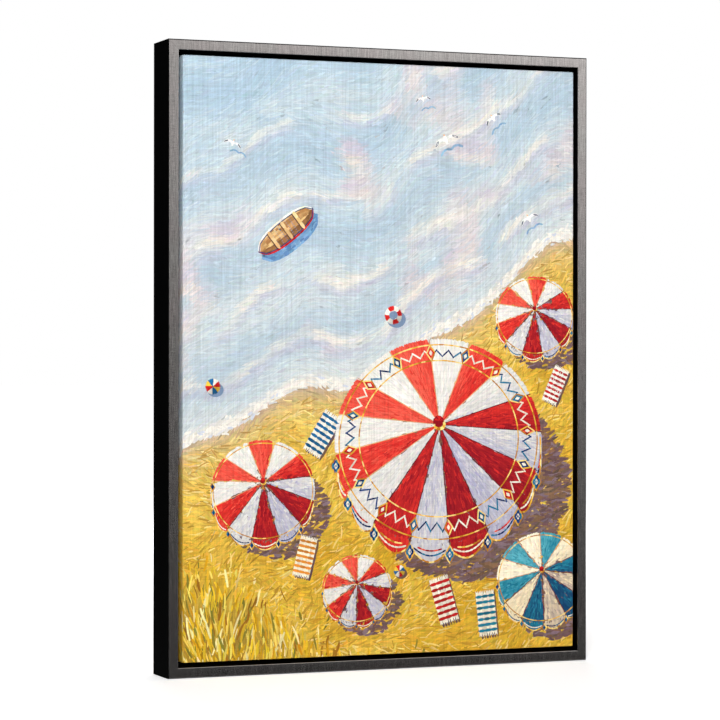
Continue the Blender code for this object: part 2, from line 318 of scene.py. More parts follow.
def softRubber():
    material, tree, shader = startFinish("soft rubber")
    cloud = noiseOn(tree, objectPattern(tree, (320, 320, 320)), detail=2.0)
    tone = ramp(tree, cloud, [(0.3, (0.42, 0.42, 0.40)), (0.7, (0.58, 0.58, 0.56))])
    tree.links.new(tone, shader.inputs["Base Color"])
    tree.links.new(spread(tree, cloud, 0.28, 0.45), shader.inputs["Roughness"])
    return material


foil = brushedFoil()
black = blackPaint()
woodLight, woodDark = (0.62, 0.42, 0.22), (0.40, 0.235, 0.105)
uprightWood = plainWood("upright pine", True, woodLight, woodDark, 0.62)
levelWood = plainWood("level pine", False, woodLight, woodDark, 0.62)
keyWood = plainWood("beech keys", False, (0.50, 0.29, 0.14), (0.33, 0.17, 0.075), 0.55)
cloth = printedCloth("printed cloth", False)
strokePaint = printedCloth("printed strokes", True)
bareCloth = rawCloth()
screwSteel = platedSteel("zinc plate", (0.66, 0.66, 0.65), (0.46, 0.46, 0.45), 0.30)
hangerSteel = platedSteel("brass plate", (0.72, 0.58, 0.31), (0.55, 0.42, 0.20), 0.32)
stapleSteel = platedSteel("galvanised wire", (0.70, 0.70, 0.70), (0.52, 0.52, 0.52), 0.28)
rubber = softRubber()
print("finishes ready")


# Frame mouldings, mitred at the corners: a black body and a brushed foil on the front lip

moulding = dict(
    lip=0.012, ledgeThickness=0.012, faceThickness=0.0014, outerArris=0.0013, innerArris=0.0005,
    backArris=0.0008, mitreGap=0.00006, arrisSegments=4,
    blackFrom=dict(left=0.5, right=0.15, top=0.15, bottom=0.5),  # how far outwards the painted arris leans
)


# Where each side's own axes (inward, depth, along) stand in the frame
def sideMatrices(width, height):
    return {
        "left": Matrix.Translation((-width / 2, 0, centreZ)),
        "right": Matrix.Translation((width / 2, 0, centreZ)) @ Matrix.Rotation(pi, 4, "Y"),
        "top": Matrix.Translation((0, 0, centreZ + height / 2)) @ Matrix.Rotation(pi / 2, 4, "Y"),
        "bottom": Matrix.Translation((0, 0, centreZ - height / 2)) @ Matrix.Rotation(-pi / 2, 4, "Y"),
    }


# An outline in (inward, depth), pulled along the bar, its chosen arrises rounded, its ends mitred
def mitredBar(outline, arrises, halfLength, place):
    shape = bmesh.new()
    corners = [shape.verts.new((u, y, -halfLength)) for u, y in outline]
    end = shape.faces.new(corners)
    pulled = bmesh.ops.extrude_face_region(shape, geom=[end])
    moved = [item for item in pulled["geom"] if isinstance(item, bmesh.types.BMVert)]
    bmesh.ops.translate(shape, verts=moved, vec=(0, 0, 2 * halfLength))
    for corner, radius in arrises:
        u, y = outline[corner]
        rounded = []
        for edge in shape.edges:
            first, second = edge.verts
            runsAlong = abs(first.co.z - second.co.z) > halfLength
            if runsAlong and abs(first.co.x - u) + abs(first.co.y - y) < 1e-6:
                rounded.append(edge)
        bmesh.ops.bevel(
            shape, geom=rounded, offset=radius, offset_type="OFFSET", affect="EDGES",
            segments=moulding["arrisSegments"], profile=0.5, material=-1,
        )
    for way in (1, -1):
        result = bmesh.ops.bisect_plane(
            shape, geom=shape.verts[:] + shape.edges[:] + shape.faces[:],
            plane_co=(0, 0, way * (halfLength - moulding["mitreGap"])), plane_no=(1, 0, way),
            clear_outer=True,
        )
        rim = [item for item in result["geom_cut"] if isinstance(item, bmesh.types.BMEdge)]
        bmesh.ops.edgenet_fill(shape, edges=rim)
    bmesh.ops.recalc_face_normals(shape, faces=shape.faces)
    bmesh.ops.transform(shape, matrix=place, verts=shape.verts)
    shape.normal_update()
    return shape


def buildMouldings():
    lip, face = moulding["lip"], moulding["faceThickness"]
    faceBack = frontY + face
    ledgeFront = backY - moulding["ledgeThickness"]
    body = [
        (0, backY), (0, faceBack), (lip, faceBack), (lip, ledgeFront),
        (ledgeInner, ledgeFront), (ledgeInner, backY),
    ]
    strip = [(0, faceBack), (0, frontY), (lip, frontY), (lip, faceBack)]
    for side, place in sideMatrices(outerWidth, outerHeight).items():
        upright = side in ("left", "right")
        halfLength = (outerHeight if upright else outerWidth) / 2
        backArrises = [(corner, moulding["backArris"]) for corner in (0, 4, 5)]
        shape = mitredBar(body, backArrises, halfLength, place)
        for item in shape.faces:
            onBack = item.normal.y > 0.9 and item.calc_center_median().y > backY - 0.001
            item.material_index = 1 if onBack else 0
        finishes = [black, uprightWood if upright else levelWood]
        name = "moulding_" + side
        bar = meshPiece(name, bmeshToMesh(shape, name), finishes, broadFaces=True)
        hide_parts("frame_" + side)
        lipArrises = ((1, moulding["outerArris"]), (2, moulding["innerArris"]))
        shape = mitredBar(strip, lipArrises, halfLength, place)
        outward = place.to_3x3() @ Vector((-1, 0, 0))
        for item in shape.faces:
            item.material_index = 1 if item.normal.dot(outward) > moulding["blackFrom"][side] else 0
        name = "lip_face_" + side
        meshPiece(name, bmeshToMesh(shape, name), [foil, black], broadFaces=True)


buildMouldings()
print("mouldings built")


# Camera, set to the photograph's viewing point

viewpoint = dict(
    place=(-1.2212, -3.0048, -0.3480), turn=-22.010, tilt=-0.0585, roll=-0.056, focalPixels=2688.9,
    framePixels=720, sensor=36.0,
)


def placeCamera():
    camera = bpy.data.cameras.new("camera")
    camera.sensor_width = viewpoint["sensor"]
    camera.lens = viewpoint["focalPixels"] * viewpoint["sensor"] / viewpoint["framePixels"]
    camera.clip_end = 50
    stand = bpy.data.objects.new("camera", camera)
    bpy.context.scene.collection.objects.link(stand)
    turn = Matrix.Rotation(radians(viewpoint["turn"]), 4, "Z")
    tilt = Matrix.Rotation(radians(viewpoint["tilt"]), 4, "X")
    roll = Matrix.Rotation(radians(viewpoint["roll"]), 4, "Y")
    level = Matrix.Rotation(pi / 2, 4, "X")
    stand.matrix_world = Matrix.Translation(viewpoint["place"]) @ turn @ tilt @ roll @ level
    bpy.context.scene.camera = stand


placeCamera()


# The cloth: a fine grid for the front, pulled out over the edges, down the sides and over the back.
# It is made in picture axes (right, up, towards the viewer) and then stood up.

clothLook = dict(
    thickness=0.0004, edgeRadius=0.0015, turnOver=0.030, printedTurn=0.008, gridStep=0.005,
    # Painted light: a factor here makes the wrapped sides' paint paler, for the little light in the gap,
    # and a power sets how it rises round the edge
    edgeSteps=3, sideSteps=9, turnSteps=6, sidePaintedLight=2.2, paintedLightTurn=3.5, palest=0.95, underPaint=0.86,
    bare=(232, 228, 216),
)


def toWorld(right, up, towards):
    return right, clothFrontY - towards, up + centreZ


def clothSteps():
    radius, steps = clothLook["edgeRadius"], clothLook["edgeSteps"]
    rows = []
    for k in range(1, steps + 1):
        angle = pi / 2 * k / steps
        rows.append((radius * sin(angle), -radius * (1 - cos(angle)), radius * angle))
    straight = clothDepth - 2 * radius
    for k in range(1, clothLook["sideSteps"] + 1):
        depth = straight * k / clothLook["sideSteps"]
        rows.append((radius, -radius - depth, radius * pi / 2 + depth))
    travelled = radius * pi / 2 + straight
    for k in range(1, steps + 1):
        angle = pi / 2 * k / steps
        depth = clothDepth - radius * (1 - sin(angle))
        rows.append((radius * cos(angle), -depth, travelled + radius * angle))
    travelled += radius * pi / 2
    for k in range(1, clothLook["turnSteps"] + 1):
        inward = (clothLook["turnOver"] - radius) * k / clothLook["turnSteps"]
        rows.append((-inward, -clothDepth, travelled + inward))
    return rows


def buildClothMesh():
    halfWidth = canvasWidth / 2 - clothLook["edgeRadius"]
    halfHeight = canvasHeight / 2 - clothLook["edgeRadius"]
    shape = bmesh.new()
    across = round(2 * halfWidth / clothLook["gridStep"])
    upward = round(2 * halfHeight / clothLook["gridStep"])
    bmesh.ops.create_grid(shape, x_segments=across, y_segments=upward, size=1.0)
    bmesh.ops.scale(shape, vec=(halfWidth, halfHeight, 1), verts=shape.verts)
    flat = shape.verts.layers.float_vector.new("flat")
    for vert in shape.verts:
        vert[flat] = vert.co
    reach = 0.0
    lastFlat = 0.0
    for offset, towards, distance in clothSteps():
        rim = [edge for edge in shape.edges if edge.is_boundary]
        pulled = bmesh.ops.extrude_edge_only(shape, edges=rim)
        fresh = [item for item in pulled["geom"] if isinstance(item, bmesh.types.BMVert)]
        for vert in fresh:
            onSide = abs(abs(vert.co.x) - halfWidth - reach) < 1e-6
            onEnd = abs(abs(vert.co.y) - halfHeight - reach) < 1e-6
            step = distance - lastFlat
            stepX = np.sign(vert.co.x) * step if onSide else 0
            stepY = np.sign(vert.co.y) * step if onEnd else 0
            vert[flat] = vert[flat] + Vector((stepX, stepY, 0))
            vert.co.x *= (halfWidth + offset) / (halfWidth + reach)
            vert.co.y *= (halfHeight + offset) / (halfHeight + reach)
            vert.co.z = towards
        reach = offset
        lastFlat = distance
    bmesh.ops.recalc_face_normals(shape, faces=shape.faces)
    front = min(shape.faces, key=lambda item: item.calc_center_median().length)
    if front.normal.z < 0:
        bmesh.ops.reverse_faces(shape, faces=shape.faces)
    for vert in shape.verts:
        vert.co = toWorld(*vert.co)
    return bmeshToMesh(shape, "canvas_cloth")


# The picture: a beach from above in oil-like strokes. Its own axes are millimetres from the lower
# left corner of the front, and the strokes run on past the edges to wrap the sides.

pictureWidth, pictureHeight = canvasWidth * 1000, canvasHeight * 1000
wrapReach = 42.0


def smoothNoise(x, z, size, seed):
    x, z = x / size, z / size
    column, row = np.floor(x), np.floor(z)
    x, z = x - column, z - row
    x, z = x * x * (3 - 2 * x), z * z * (3 - 2 * z)

    def lattice(i, j):
        value = np.sin(i * 127.1 + j * 311.7 + seed * 74.7) * 43758.5453
        return value - np.floor(value)

    lower = lattice(column, row) * (1 - x) + lattice(column + 1, row) * x
    upper = lattice(column, row + 1) * (1 - x) + lattice(column + 1, row + 1) * x
    return lower * (1 - z) + upper * z


def blend(first, second, share):
    share = np.clip(np.asarray(share, float), 0, 1)[..., None]
    return np.asarray(first, float) * (1 - share) + np.asarray(second, float) * share


def toLinear(colour):
    colour = np.clip(np.asarray(colour, float) / 255, 0, 1)
    return np.where(colour <= 0.04045, colour / 12.92, ((colour + 0.055) / 1.055) ** 2.4)


shore = dict(
    level=352, slope=0.50, swings=((20, 66, 0.6), (8, 25, 2.0)), grassLevel=104, grassSlope=-0.46,
)
seaColours = dict(
    shallow=(198, 206, 208), deep=(168, 190, 204), crest=(212, 213, 208), trough=(158, 179, 196),
    foam=(228, 221, 209), foamShade=(182, 180, 197), patch=(219, 208, 200), patchShade=(194, 188, 199),
    glint=(232, 232, 226), dim=(160, 188, 208),
)
sandColours = dict(
    low=(202, 154, 38), high=(226, 190, 80), cream=(230, 212, 152), wet=(184, 160, 144),
    roots=(176, 138, 50), deepRoots=(120, 104, 48),
)
grassColours = (
    (222, 182, 46), (234, 206, 96), (236, 220, 156), (196, 146, 30), (130, 122, 48), (150, 104, 34),
)
sandMarkColours = ((150, 106, 34), (244, 228, 176), (220, 168, 62), (172, 122, 46))
foamColours = ((236, 231, 221), (226, 224, 218), (204, 208, 218))
# Each line of foam: how far out it lies, its width, the seed of its wobble and its strength
foamLines = ((6, 7, 31, 1.0), (58, 7, 41, 0.9), (118, 6, 51, 0.85), (196, 6, 61, 0.75), (282, 5, 71, 0.6))


def shoreLine(x):
    line = shore["level"] + shore["slope"] * (x - pictureWidth / 2)
    for height, length, start in shore["swings"]:
        line = line + height * np.sin(x / length + start)
    return line


def shoreAngle(x):
    slope = shore["slope"]
    for height, length, start in shore["swings"]:
        slope = slope + height / length * np.cos(x / length + start)
    return np.arctan(slope)


# How far out in the water a point is; sand is negative
def waterDistance(x, z):
    return (z - shoreLine(x)) * cos(np.arctan(shore["slope"]))


def grassDepth(x, z):
    line = shore["grassLevel"] + shore["grassSlope"] * x + 16 * np.sin(x / 38)
    return line - z


def swellAt(x, z, out):
    return np.sin((out + 16 * smoothNoise(x, z, 60, 3)) / 15.5)


def seaColour(x, z, out):
    broad = smoothNoise(x, z, 90, 1)
    lively = smoothNoise(x * 0.7 + z * 0.3, z * 1.3, 22, 2)
    colour = blend(seaColours["shallow"], seaColours["deep"], out / 420 + 0.5 * (broad - 0.4))
    swell = swellAt(x, z, out)
    colour = blend(colour, seaColours["crest"], 0.5 * np.clip(swell, 0, 1) * lively)
    colour = blend(colour, seaColours["trough"], 0.38 * np.clip(-swell, 0, 1))
    patch = smoothNoise(x, z, 72, 9) * 0.62 + smoothNoise(x, z, 26, 10) * 0.38
    under = smoothNoise(x, z + 12, 72, 9) * 0.62 + smoothNoise(x, z + 12, 26, 10) * 0.38
    tone = blend(seaColours["patch"], seaColours["patchShade"], (patch - under) * 5 + 0.35)
    colour = blend(colour, tone, (patch - 0.58) * 6 * (out > 30))
    for centre, width, seed, strength in foamLines:
        wobble = 24 * (smoothNoise(x, z, 48, seed) - 0.5) + 7 * (smoothNoise(x, z, 14, seed + 1) - 0.5)
        across = (out - centre + wobble * (centre > 10)) / width
        ragged = np.clip(smoothNoise(x, z, 30, seed + 2) * 2.4 - 0.5, 0, 1) if centre > 10 else 1.0
        shade = 0.75 * strength * ragged * np.exp(-(across + 1.6) ** 2)
        colour = blend(colour, seaColours["foamShade"], shade)
        colour = blend(colour, seaColours["foam"], strength * ragged * np.exp(-across * across))
    return colour


def sandColour(x, z, out):
    mottle = smoothNoise(x, z, 58, 21) * 0.6 + smoothNoise(x, z, 15, 22) * 0.4
    colour = blend(sandColours["low"], sandColours["high"], mottle * 1.3 - 0.15)
    colour = blend(colour, sandColours["cream"], 0.55 * np.exp(out / 60))
    colour = blend(colour, sandColours["wet"], 0.85 * np.exp(out / 16))
    roots = np.clip(grassDepth(x, z) / 60, 0, 1)
    colour = blend(colour, sandColours["roots"], roots * 0.75)
    return blend(colour, sandColours["deepRoots"], roots * 0.5 * smoothNoise(x, z, 20, 25))


def sceneColour(x, z):
    out = waterDistance(x, z)
    return blend(sandColour(x, z, np.minimum(out, 0)), seaColour(x, z, out), out > 0)


dice = np.random.default_rng(7)


# Strokes are gathered here as rows: place, turn, size, colour and how high they lie
class StrokePile:
    def __init__(self):
        self.parts = []

    def add(self, x, z, turn, length, width, colour, lift, bend=0.0):
        count = len(x)

        def full(value):
            return np.broadcast_to(np.asarray(value, float), (count,)).copy()

        self.parts.append(dict(
            x=full(x), z=full(z), turn=full(turn), length=full(length), width=full(width),
            lift=full(lift) + dice.uniform(0, 0.005, count),
            bend=full(bend), colour=np.broadcast_to(np.asarray(colour, float), (count, 3)).copy(),
        ))

    def joined(self):
        return {key: np.concatenate([part[key] for part in self.parts]) for key in self.parts[0]}


def jitterColour(colour, amount):
    count = len(colour)
    value = 1 + amount * dice.normal(0, 0.5, (count, 1))
    hue = 1 + amount * 0.35 * dice.normal(0, 0.5, (count, 3))
    return np.clip(colour * value * hue, 0, 255)


def scatter(count):
    x = dice.uniform(-wrapReach, pictureWidth + wrapReach, count)
    z = dice.uniform(-wrapReach, pictureHeight + wrapReach, count)
    outside = ((x < 0) | (x > pictureWidth)) & ((z < 0) | (z > pictureHeight))
    return x[~outside], z[~outside]


# Broad, middle and small strokes that follow the waves, the sand and the grass
def fieldStrokes(pile, count, length, width, lift, liveliness):
    x, z = scatter(count)
    out = waterDistance(x, z)
    grass = grassDepth(x, z) > 0
    water = out > 0
    wander = smoothNoise(x, z, 45, 81) - 0.5
    turn = np.where(water, shoreAngle(x) + 0.9 * wander, radians(18) + 2.2 * wander)
    turn = np.where(grass & ~water, radians(90) + 1.1 * wander, turn) + dice.normal(0, 0.16, len(x))
    colour = jitterColour(sceneColour(x, z), np.where(water, 0.045, 0.11)[:, None] * liveliness)
    stretch = dice.uniform(0.7, 1.3, len(x))
    slim = np.where(water, 1.0, 0.85)
    pile.add(x, z, turn, length * stretch, width * slim * dice.uniform(0.75, 1.25, len(x)), colour,
             lift + dice.uniform(0, 0.03, len(x)), dice.integers(-1, 2, len(x)))


def pickColours(palette, chances, count):
    return np.asarray(palette, float)[dice.choice(len(palette), count, p=chances)]


def grassBlades(pile, count, lift):
    x, z = scatter(count)
    depth = grassDepth(x, z) + dice.normal(0, 14, len(x))
    keep = (depth > 0) & (waterDistance(x, z) < -8)
    x, z, depth = x[keep], z[keep], depth[keep]
    turn = radians(90) + 0.5 * (smoothNoise(x, z, 70, 91) - 0.5) * 2 + dice.normal(0, 0.22, len(x))
    colour = pickColours(grassColours, (0.30, 0.22, 0.10, 0.20, 0.08, 0.10), len(x))
    length = dice.uniform(10, 34, len(x)) * (0.6 + 0.4 * np.clip(depth / 60, 0, 1))
    pile.add(x, z, turn, length, dice.uniform(1.1, 3.4, len(x)), jitterColour(colour, 0.10),
             dice.uniform(*lift, len(x)), dice.integers(-1, 2, len(x)))


def sandMarks(pile, count, lift):
    x, z = scatter(count)
    out = waterDistance(x, z)
    keep = (out < -10) & (grassDepth(x, z) < 0)
    x, z = x[keep], z[keep]
    tones = pickColours(sandMarkColours, (0.24, 0.32, 0.24, 0.20), len(x))
    colour = blend(sceneColour(x, z), tones, 0.5)
    turn = radians(20) + 1.8 * (smoothNoise(x, z, 60, 95) - 0.5) + dice.normal(0, 0.35, len(x))
    pile.add(x, z, turn, dice.uniform(5, 17, len(x)), dice.uniform(0.8, 2.2, len(x)),
             jitterColour(colour, 0.1), dice.uniform(*lift, len(x)), dice.integers(-1, 2, len(x)))


def waterMarks(pile, count, lift):
    x, z = scatter(count)
    out = waterDistance(x, z)
    keep = out > 4
    x, z, out = x[keep], z[keep], out[keep]
    pale = dice.uniform(0, 1, len(x)) < 0.42 + 0.3 * swellAt(x, z, out)
    colour = np.where(pale[:, None], seaColours["glint"], seaColours["dim"])
    colour = blend(sceneColour(x, z), colour, 0.22)
    turn = shoreAngle(x) + 0.7 * (smoothNoise(x, z, 45, 81) - 0.5) + dice.normal(0, 0.12, len(x))
    pile.add(x, z, turn, dice.uniform(7, 22, len(x)), dice.uniform(0.8, 1.9, len(x)),
             jitterColour(colour, 0.03), dice.uniform(*lift, len(x)), dice.integers(-1, 2, len(x)))


def foamDabs(pile, count, lift):
    x, z = scatter(count)
    out = waterDistance(x, z)
    keep = np.abs(out - 6) < dice.uniform(1, 10, len(x))
    x, z = x[keep], z[keep]
    colour = pickColours(foamColours, (0.6, 0.25, 0.15), len(x))
    turn = shoreAngle(x) + dice.normal(0, 0.5, len(x))
    pile.add(x, z, turn, dice.uniform(4, 10, len(x)), dice.uniform(2, 3.6, len(x)), colour,
             dice.uniform(*lift, len(x)), dice.integers(-1, 2, len(x)))


# Parasols, seen from above and a little from the shore

redCloth = dict(light=(234, 94, 76), middle=(212, 46, 40), dark=(140, 22, 34))
whiteCloth = dict(light=(232, 228, 220), middle=(216, 213, 208), dark=(164, 162, 190))
tealCloth = dict(light=(92, 172, 186), middle=(34, 124, 148), dark=(22, 62, 100))
creamCloth = dict(light=(250, 240, 214), middle=(234, 216, 176), dark=(168, 148, 140))
goldTones = ((226, 174, 62), (246, 216, 128), (184, 122, 34))
blueTones = ((22, 62, 118), (28, 112, 146), (18, 40, 86))
redTones = ((202, 30, 32), (232, 84, 60), (150, 18, 32))
creamTones = ((238, 232, 216), (226, 216, 196))

parasols = (
    dict(x=322, z=250, radius=134, gores=16, turn=0.10, first=redCloth, second=whiteCloth, trim=2),
    dict(x=98, z=196, radius=64, gores=12, turn=0.30, first=redCloth, second=whiteCloth, trim=1),
    dict(x=458, z=84, radius=60, gores=12, turn=0.05, first=tealCloth, second=creamCloth, trim=1),
    dict(x=216, z=78, radius=44, gores=12, turn=0.50, first=redCloth, second=whiteCloth, trim=1),
    dict(x=448, z=402, radius=52, gores=12, turn=0.20, first=redCloth, second=whiteCloth, trim=1),
)
parasolForm = dict(
    squash=0.90, rise=0.16, drop=0.17, lightFrom=radians(128), shadowRight=0.30, shadowDown=0.40,
    shadowLift=0.195, canopyLift=0.255, valanceLift=0.285, seamLift=0.305, trimLift=0.325, goldLift=0.345,
    topLift=0.365, shadowTones=((86, 62, 86), (118, 84, 66), (112, 98, 134), (70, 58, 60)),
)


def clothTone(palette, light):
    light = np.asarray(light, float)
    lower = blend(palette["dark"], palette["middle"], light * 2)
    upper = blend(palette["middle"], palette["light"], light * 2 - 1)
    return np.where((light > 0.5)[..., None], upper, lower)


def parasolShadow(pile, item):
    radius = item["radius"]
    count = int(radius * radius * 0.20)
    around = dice.uniform(0, wholeTurn, count)
    reach = np.sqrt(dice.uniform(0, 1, count)) * 0.97
    x = item["x"] + radius * (parasolForm["shadowRight"] + reach * np.cos(around))
    z = item["z"] + radius * (-parasolForm["shadowDown"] + 0.86 * reach * np.sin(around))
    base = blend(sceneColour(x, z), (92, 72, 96), 0.62)
    tones = pickColours(parasolForm["shadowTones"], (0.35, 0.30, 0.2, 0.15), count)
    colour = blend(base, tones, 0.55)
    turn = radians(10) + dice.normal(0, 0.35, count)
    length = dice.uniform(7, 15, count) * (0.5 + radius / 160)
    pile.add(x, z, turn, length, dice.uniform(2.2, 4.4, count), jitterColour(colour, 0.10),
             parasolForm["shadowLift"] + dice.uniform(0, 0.02, count), dice.integers(-1, 2, count))


def rimPoint(item, around):
    return (item["x"] + item["radius"] * np.cos(around),
            item["z"] + parasolForm["squash"] * item["radius"] * np.sin(around))


def canopyPoint(item, reach, around):
    topX, topZ = item["x"], item["z"] + parasolForm["rise"] * item["radius"]
    rimX, rimZ = rimPoint(item, around)
    acrossX, acrossZ = rimX - topX, rimZ - topZ
    return topX + reach * acrossX, topZ + reach * acrossZ, np.arctan2(acrossZ, acrossX)


def canopyLight(around, across):
    return 0.5 + 0.42 * np.cos(around - parasolForm["lightFrom"]) + 0.16 * (across - 0.5)


# Gores take the two cloths in turn
def goreColour(item, which, firstLight, secondLight):
    first, second = clothTone(item["first"], firstLight), clothTone(item["second"], secondLight)
    return np.where((which % 2 == 1)[:, None], second, first)


def canopyStrokes(pile, item):
    radius, gores = item["radius"], item["gores"]
    gore = wholeTurn / gores
    count = int(radius * radius * 0.46)
    which = dice.integers(0, gores, count)
    reach = np.sqrt(dice.uniform(0.002, 1, count))
    length = np.clip(radius * 0.17, 6, 18) * dice.uniform(0.7, 1.3, count) * (0.45 + 0.55 * reach)
    reach = np.minimum(reach, 1 - length * 0.5 / radius)
    room = radius * reach * gore
    width = np.clip(room * 0.34, 0.9, 4.6)
    margin = np.clip(width / 2 / np.maximum(room, 0.1), 0.05, 0.42)
    across = margin + (1 - 2 * margin) * dice.uniform(0, 1, count)
    around = item["turn"] + (which + across) * gore
    x, z, turn = canopyPoint(item, reach, around)
    light = canopyLight(around, across) + dice.normal(0, 0.11, count)
    colour = goreColour(item, which, light, light + 0.12)
    pile.add(x, z, turn + dice.normal(0, 0.05, count), length, width, jitterColour(colour, 0.05),
             parasolForm["canopyLift"] + dice.uniform(0, 0.02, count), dice.integers(-1, 2, count))


# Folds and streaks of dark and light paint down each gore
def canopyFolds(pile, item):
    radius, gores = item["radius"], item["gores"]
    count = int(radius * 3.2)
    which = dice.integers(0, gores, count)
    across = dice.uniform(0.12, 0.88, count)
    around = item["turn"] + (which + across) * wholeTurn / gores
    reach = dice.uniform(0.25, 0.88, count)
    x, z, turn = canopyPoint(item, reach, around)
    bright = dice.uniform(0, 1, count) < 0.45
    light = canopyLight(around, across) + np.where(bright, 0.42, -0.42)
    colour = goreColour(item, which, light, light)
    pile.add(x, z, turn, radius * dice.uniform(0.08, 0.2, count), dice.uniform(0.7, 1.5, count),
             jitterColour(colour, 0.06), parasolForm["canopyLift"] + 0.034, dice.integers(-1, 2, count))


def canopySeams(pile, item):
    gores, radius = item["gores"], item["radius"]
    steps = 9
    around = np.repeat(item["turn"] + np.arange(gores) * wholeTurn / gores, steps)
    reach = np.tile((np.arange(steps) + 0.5) / steps, gores)
    x, z, turn = canopyPoint(item, reach, around)
    lit = np.cos(around - parasolForm["lightFrom"]) > 0.1
    colour = np.where(lit[:, None], (222, 168, 120), (96, 18, 34))
    width = (0.6 + 0.7 * reach) * (0.6 + radius / 220)
    pile.add(x, z, turn, radius / steps * 1.25, width, jitterColour(colour.astype(float), 0.12),
             parasolForm["seamLift"])


# Short strokes along a line that is given as points
def lineStrokes(pile, x, z, width, colours, lift, overlap=1.35):
    dx, dz = np.diff(x), np.diff(z)
    length = np.hypot(dx, dz)
    colour = pickColours(colours, np.full(len(colours), 1 / len(colours)), len(dx))
    pile.add((x[1:] + x[:-1]) / 2, (z[1:] + z[:-1]) / 2, np.arctan2(dz, dx), length * overlap, width,
             jitterColour(colour, 0.06), lift)


# A four-sided figure: a filled middle and a border of four strokes, turned to any angle
def diamond(pile, x, z, halfAlong, halfAcross, turn, inside, border, thick, lift):
    rows = np.array([-0.62, -0.21, 0.21, 0.62])
    colour = pickColours(inside, np.full(len(inside), 1 / len(inside)), len(rows))
    pile.add(x - sin(turn) * rows * halfAcross, z + cos(turn) * rows * halfAcross, turn,
             2 * halfAlong * (1 - np.abs(rows)) + 0.5, halfAcross * 0.6, colour, lift)
    along = np.array([1, 0, -1, 0, 1]) * halfAlong
    across = np.array([0, 1, 0, -1, 0]) * halfAcross
    cornerX = x + cos(turn) * along - sin(turn) * across
    cornerZ = z + sin(turn) * along + cos(turn) * across
    lineStrokes(pile, cornerX, cornerZ, thick, border, lift + 0.012, 1.15)


# Rings of gold round the canopy, with a zigzag and small diamonds between them
def canopyBands(pile, item):
    radius, gores = item["radius"], item["gores"]
    around = np.linspace(0, wholeTurn, 120 if radius > 100 else 72)
    thick = 0.9 + radius * 0.006
    rings = (0.775, 0.965) if item["trim"] == 2 else (0.965,)
    for reach in rings:
        x, z, _ = canopyPoint(item, reach, around)
        lineStrokes(pile, x, z, thick, goldTones, parasolForm["goldLift"])
    if item["trim"] < 2:
        return
    teeth = 6
    for which in range(gores):
        share = np.linspace(0, 1, teeth + 1)
        reach = np.where(np.arange(teeth + 1) % 2, 0.90, 0.825)
        x, z, _ = canopyPoint(item, reach, item["turn"] + (which + share) * wholeTurn / gores)
        lineStrokes(pile, x, z, 2.0, blueTones if which % 2 else creamTones, parasolForm["trimLift"], 1.2)
        angle = item["turn"] + which * wholeTurn / gores
        x, z, turn = canopyPoint(item, 0.87, angle)
        diamond(pile, float(x), float(z), 9.5, 5.4, float(turn), blueTones if which % 2 else redTones,
                goldTones, 1.7, parasolForm["goldLift"])
        diamond(pile, float(x), float(z), 3.0, 1.8, float(turn), creamTones, creamTones, 0.8,
                parasolForm["topLift"])


# The hanging edge on the side that faces the viewer: scallops with a piping and a pendant between
def valance(pile, item):
    radius, gores, trim = item["radius"], item["gores"], item["trim"]
    gore = wholeTurn / gores
    drop = parasolForm["drop"] * radius
    thick = 0.8 + 0.011 * radius
    for which in range(gores):
        start = item["turn"] + which * gore
        facing = -sin(start + gore / 2)
        if facing < 0.02:
            continue
        count = int(20 + radius * 1.5)
        share = dice.uniform(0.04, 0.96, count)
        depth = drop * (0.35 + 0.65 * np.sin(pi * share))
        x, z = rimPoint(item, start + share * gore)
        z = z - dice.uniform(0.1, 0.86, count) * depth
        turned = start + gore / 2 - parasolForm["lightFrom"] - 0.7
        light = 0.40 + 0.34 * np.cos(turned) + dice.normal(0, 0.09, count)
        palette = item["first"] if which % 2 == 0 else item["second"]
        turn = radians(90) + dice.normal(0, 0.12, count)
        lift = parasolForm["valanceLift"] + dice.uniform(0, 0.012, count)
        pile.add(x, z, turn, np.clip(depth * 0.42, 2.2, 9), np.clip(radius * 0.026, 1.2, 3.2),
                 clothTone(palette, light), lift)
        share = np.linspace(0, 1, 11)
        x, z = rimPoint(item, start + share * gore)
        scallop = drop * (0.35 + 0.65 * np.sin(pi * share))
        lineStrokes(pile, x, z - scallop, thick, goldTones, parasolForm["goldLift"])
        trimLift, topLift = parasolForm["trimLift"], parasolForm["topLift"]
        inner = blueTones if which % 2 else creamTones
        lineStrokes(pile, x[1:-1], (z - scallop * 0.66)[1:-1], thick * 0.95, inner, trimLift, 1.1)
        if trim == 2:
            upper = redTones if which % 2 else goldTones
            lineStrokes(pile, x[2:-2], (z - scallop * 0.40)[2:-2], thick * 0.9, upper, trimLift, 1.1)
        pendant = z[0] - drop * 0.62
        diamond(pile, x[0], pendant, drop * 0.46, drop * 0.27, radians(90), blueTones, goldTones,
                thick * 0.85, topLift - 0.005)
        if trim == 2:
            diamond(pile, x[0], pendant, drop * 0.15, drop * 0.09, radians(90), creamTones, creamTones,
                    0.9, topLift + 0.012)


def finial(pile, item):
    radius = item["radius"]
    x, z = item["x"], item["z"] + parasolForm["rise"] * radius
    around = np.linspace(0, wholeTurn, 10)
    ring = 0.048 * radius
    ringX, ringZ = x + ring * np.cos(around), z + ring * 0.8 * np.sin(around)
    lineStrokes(pile, ringX, ringZ, 0.03 * radius, goldTones, parasolForm["topLift"])
    knob = ((0.030, 0.095, (140, 18, 30)), (0.040, 0.075, (206, 36, 34)), (0.056, 0.03, (248, 190, 164)))
    for layer, (up, size, colour) in enumerate(knob):
        turns = np.array([0.0, pi / 2, pi / 4])
        pile.add(np.full(3, x - size * 0.12 * radius), np.full(3, z + up * radius), turns, size * radius,
                 size * radius * 0.8, colour, parasolForm["topLift"] + 0.006 * (layer + 1))


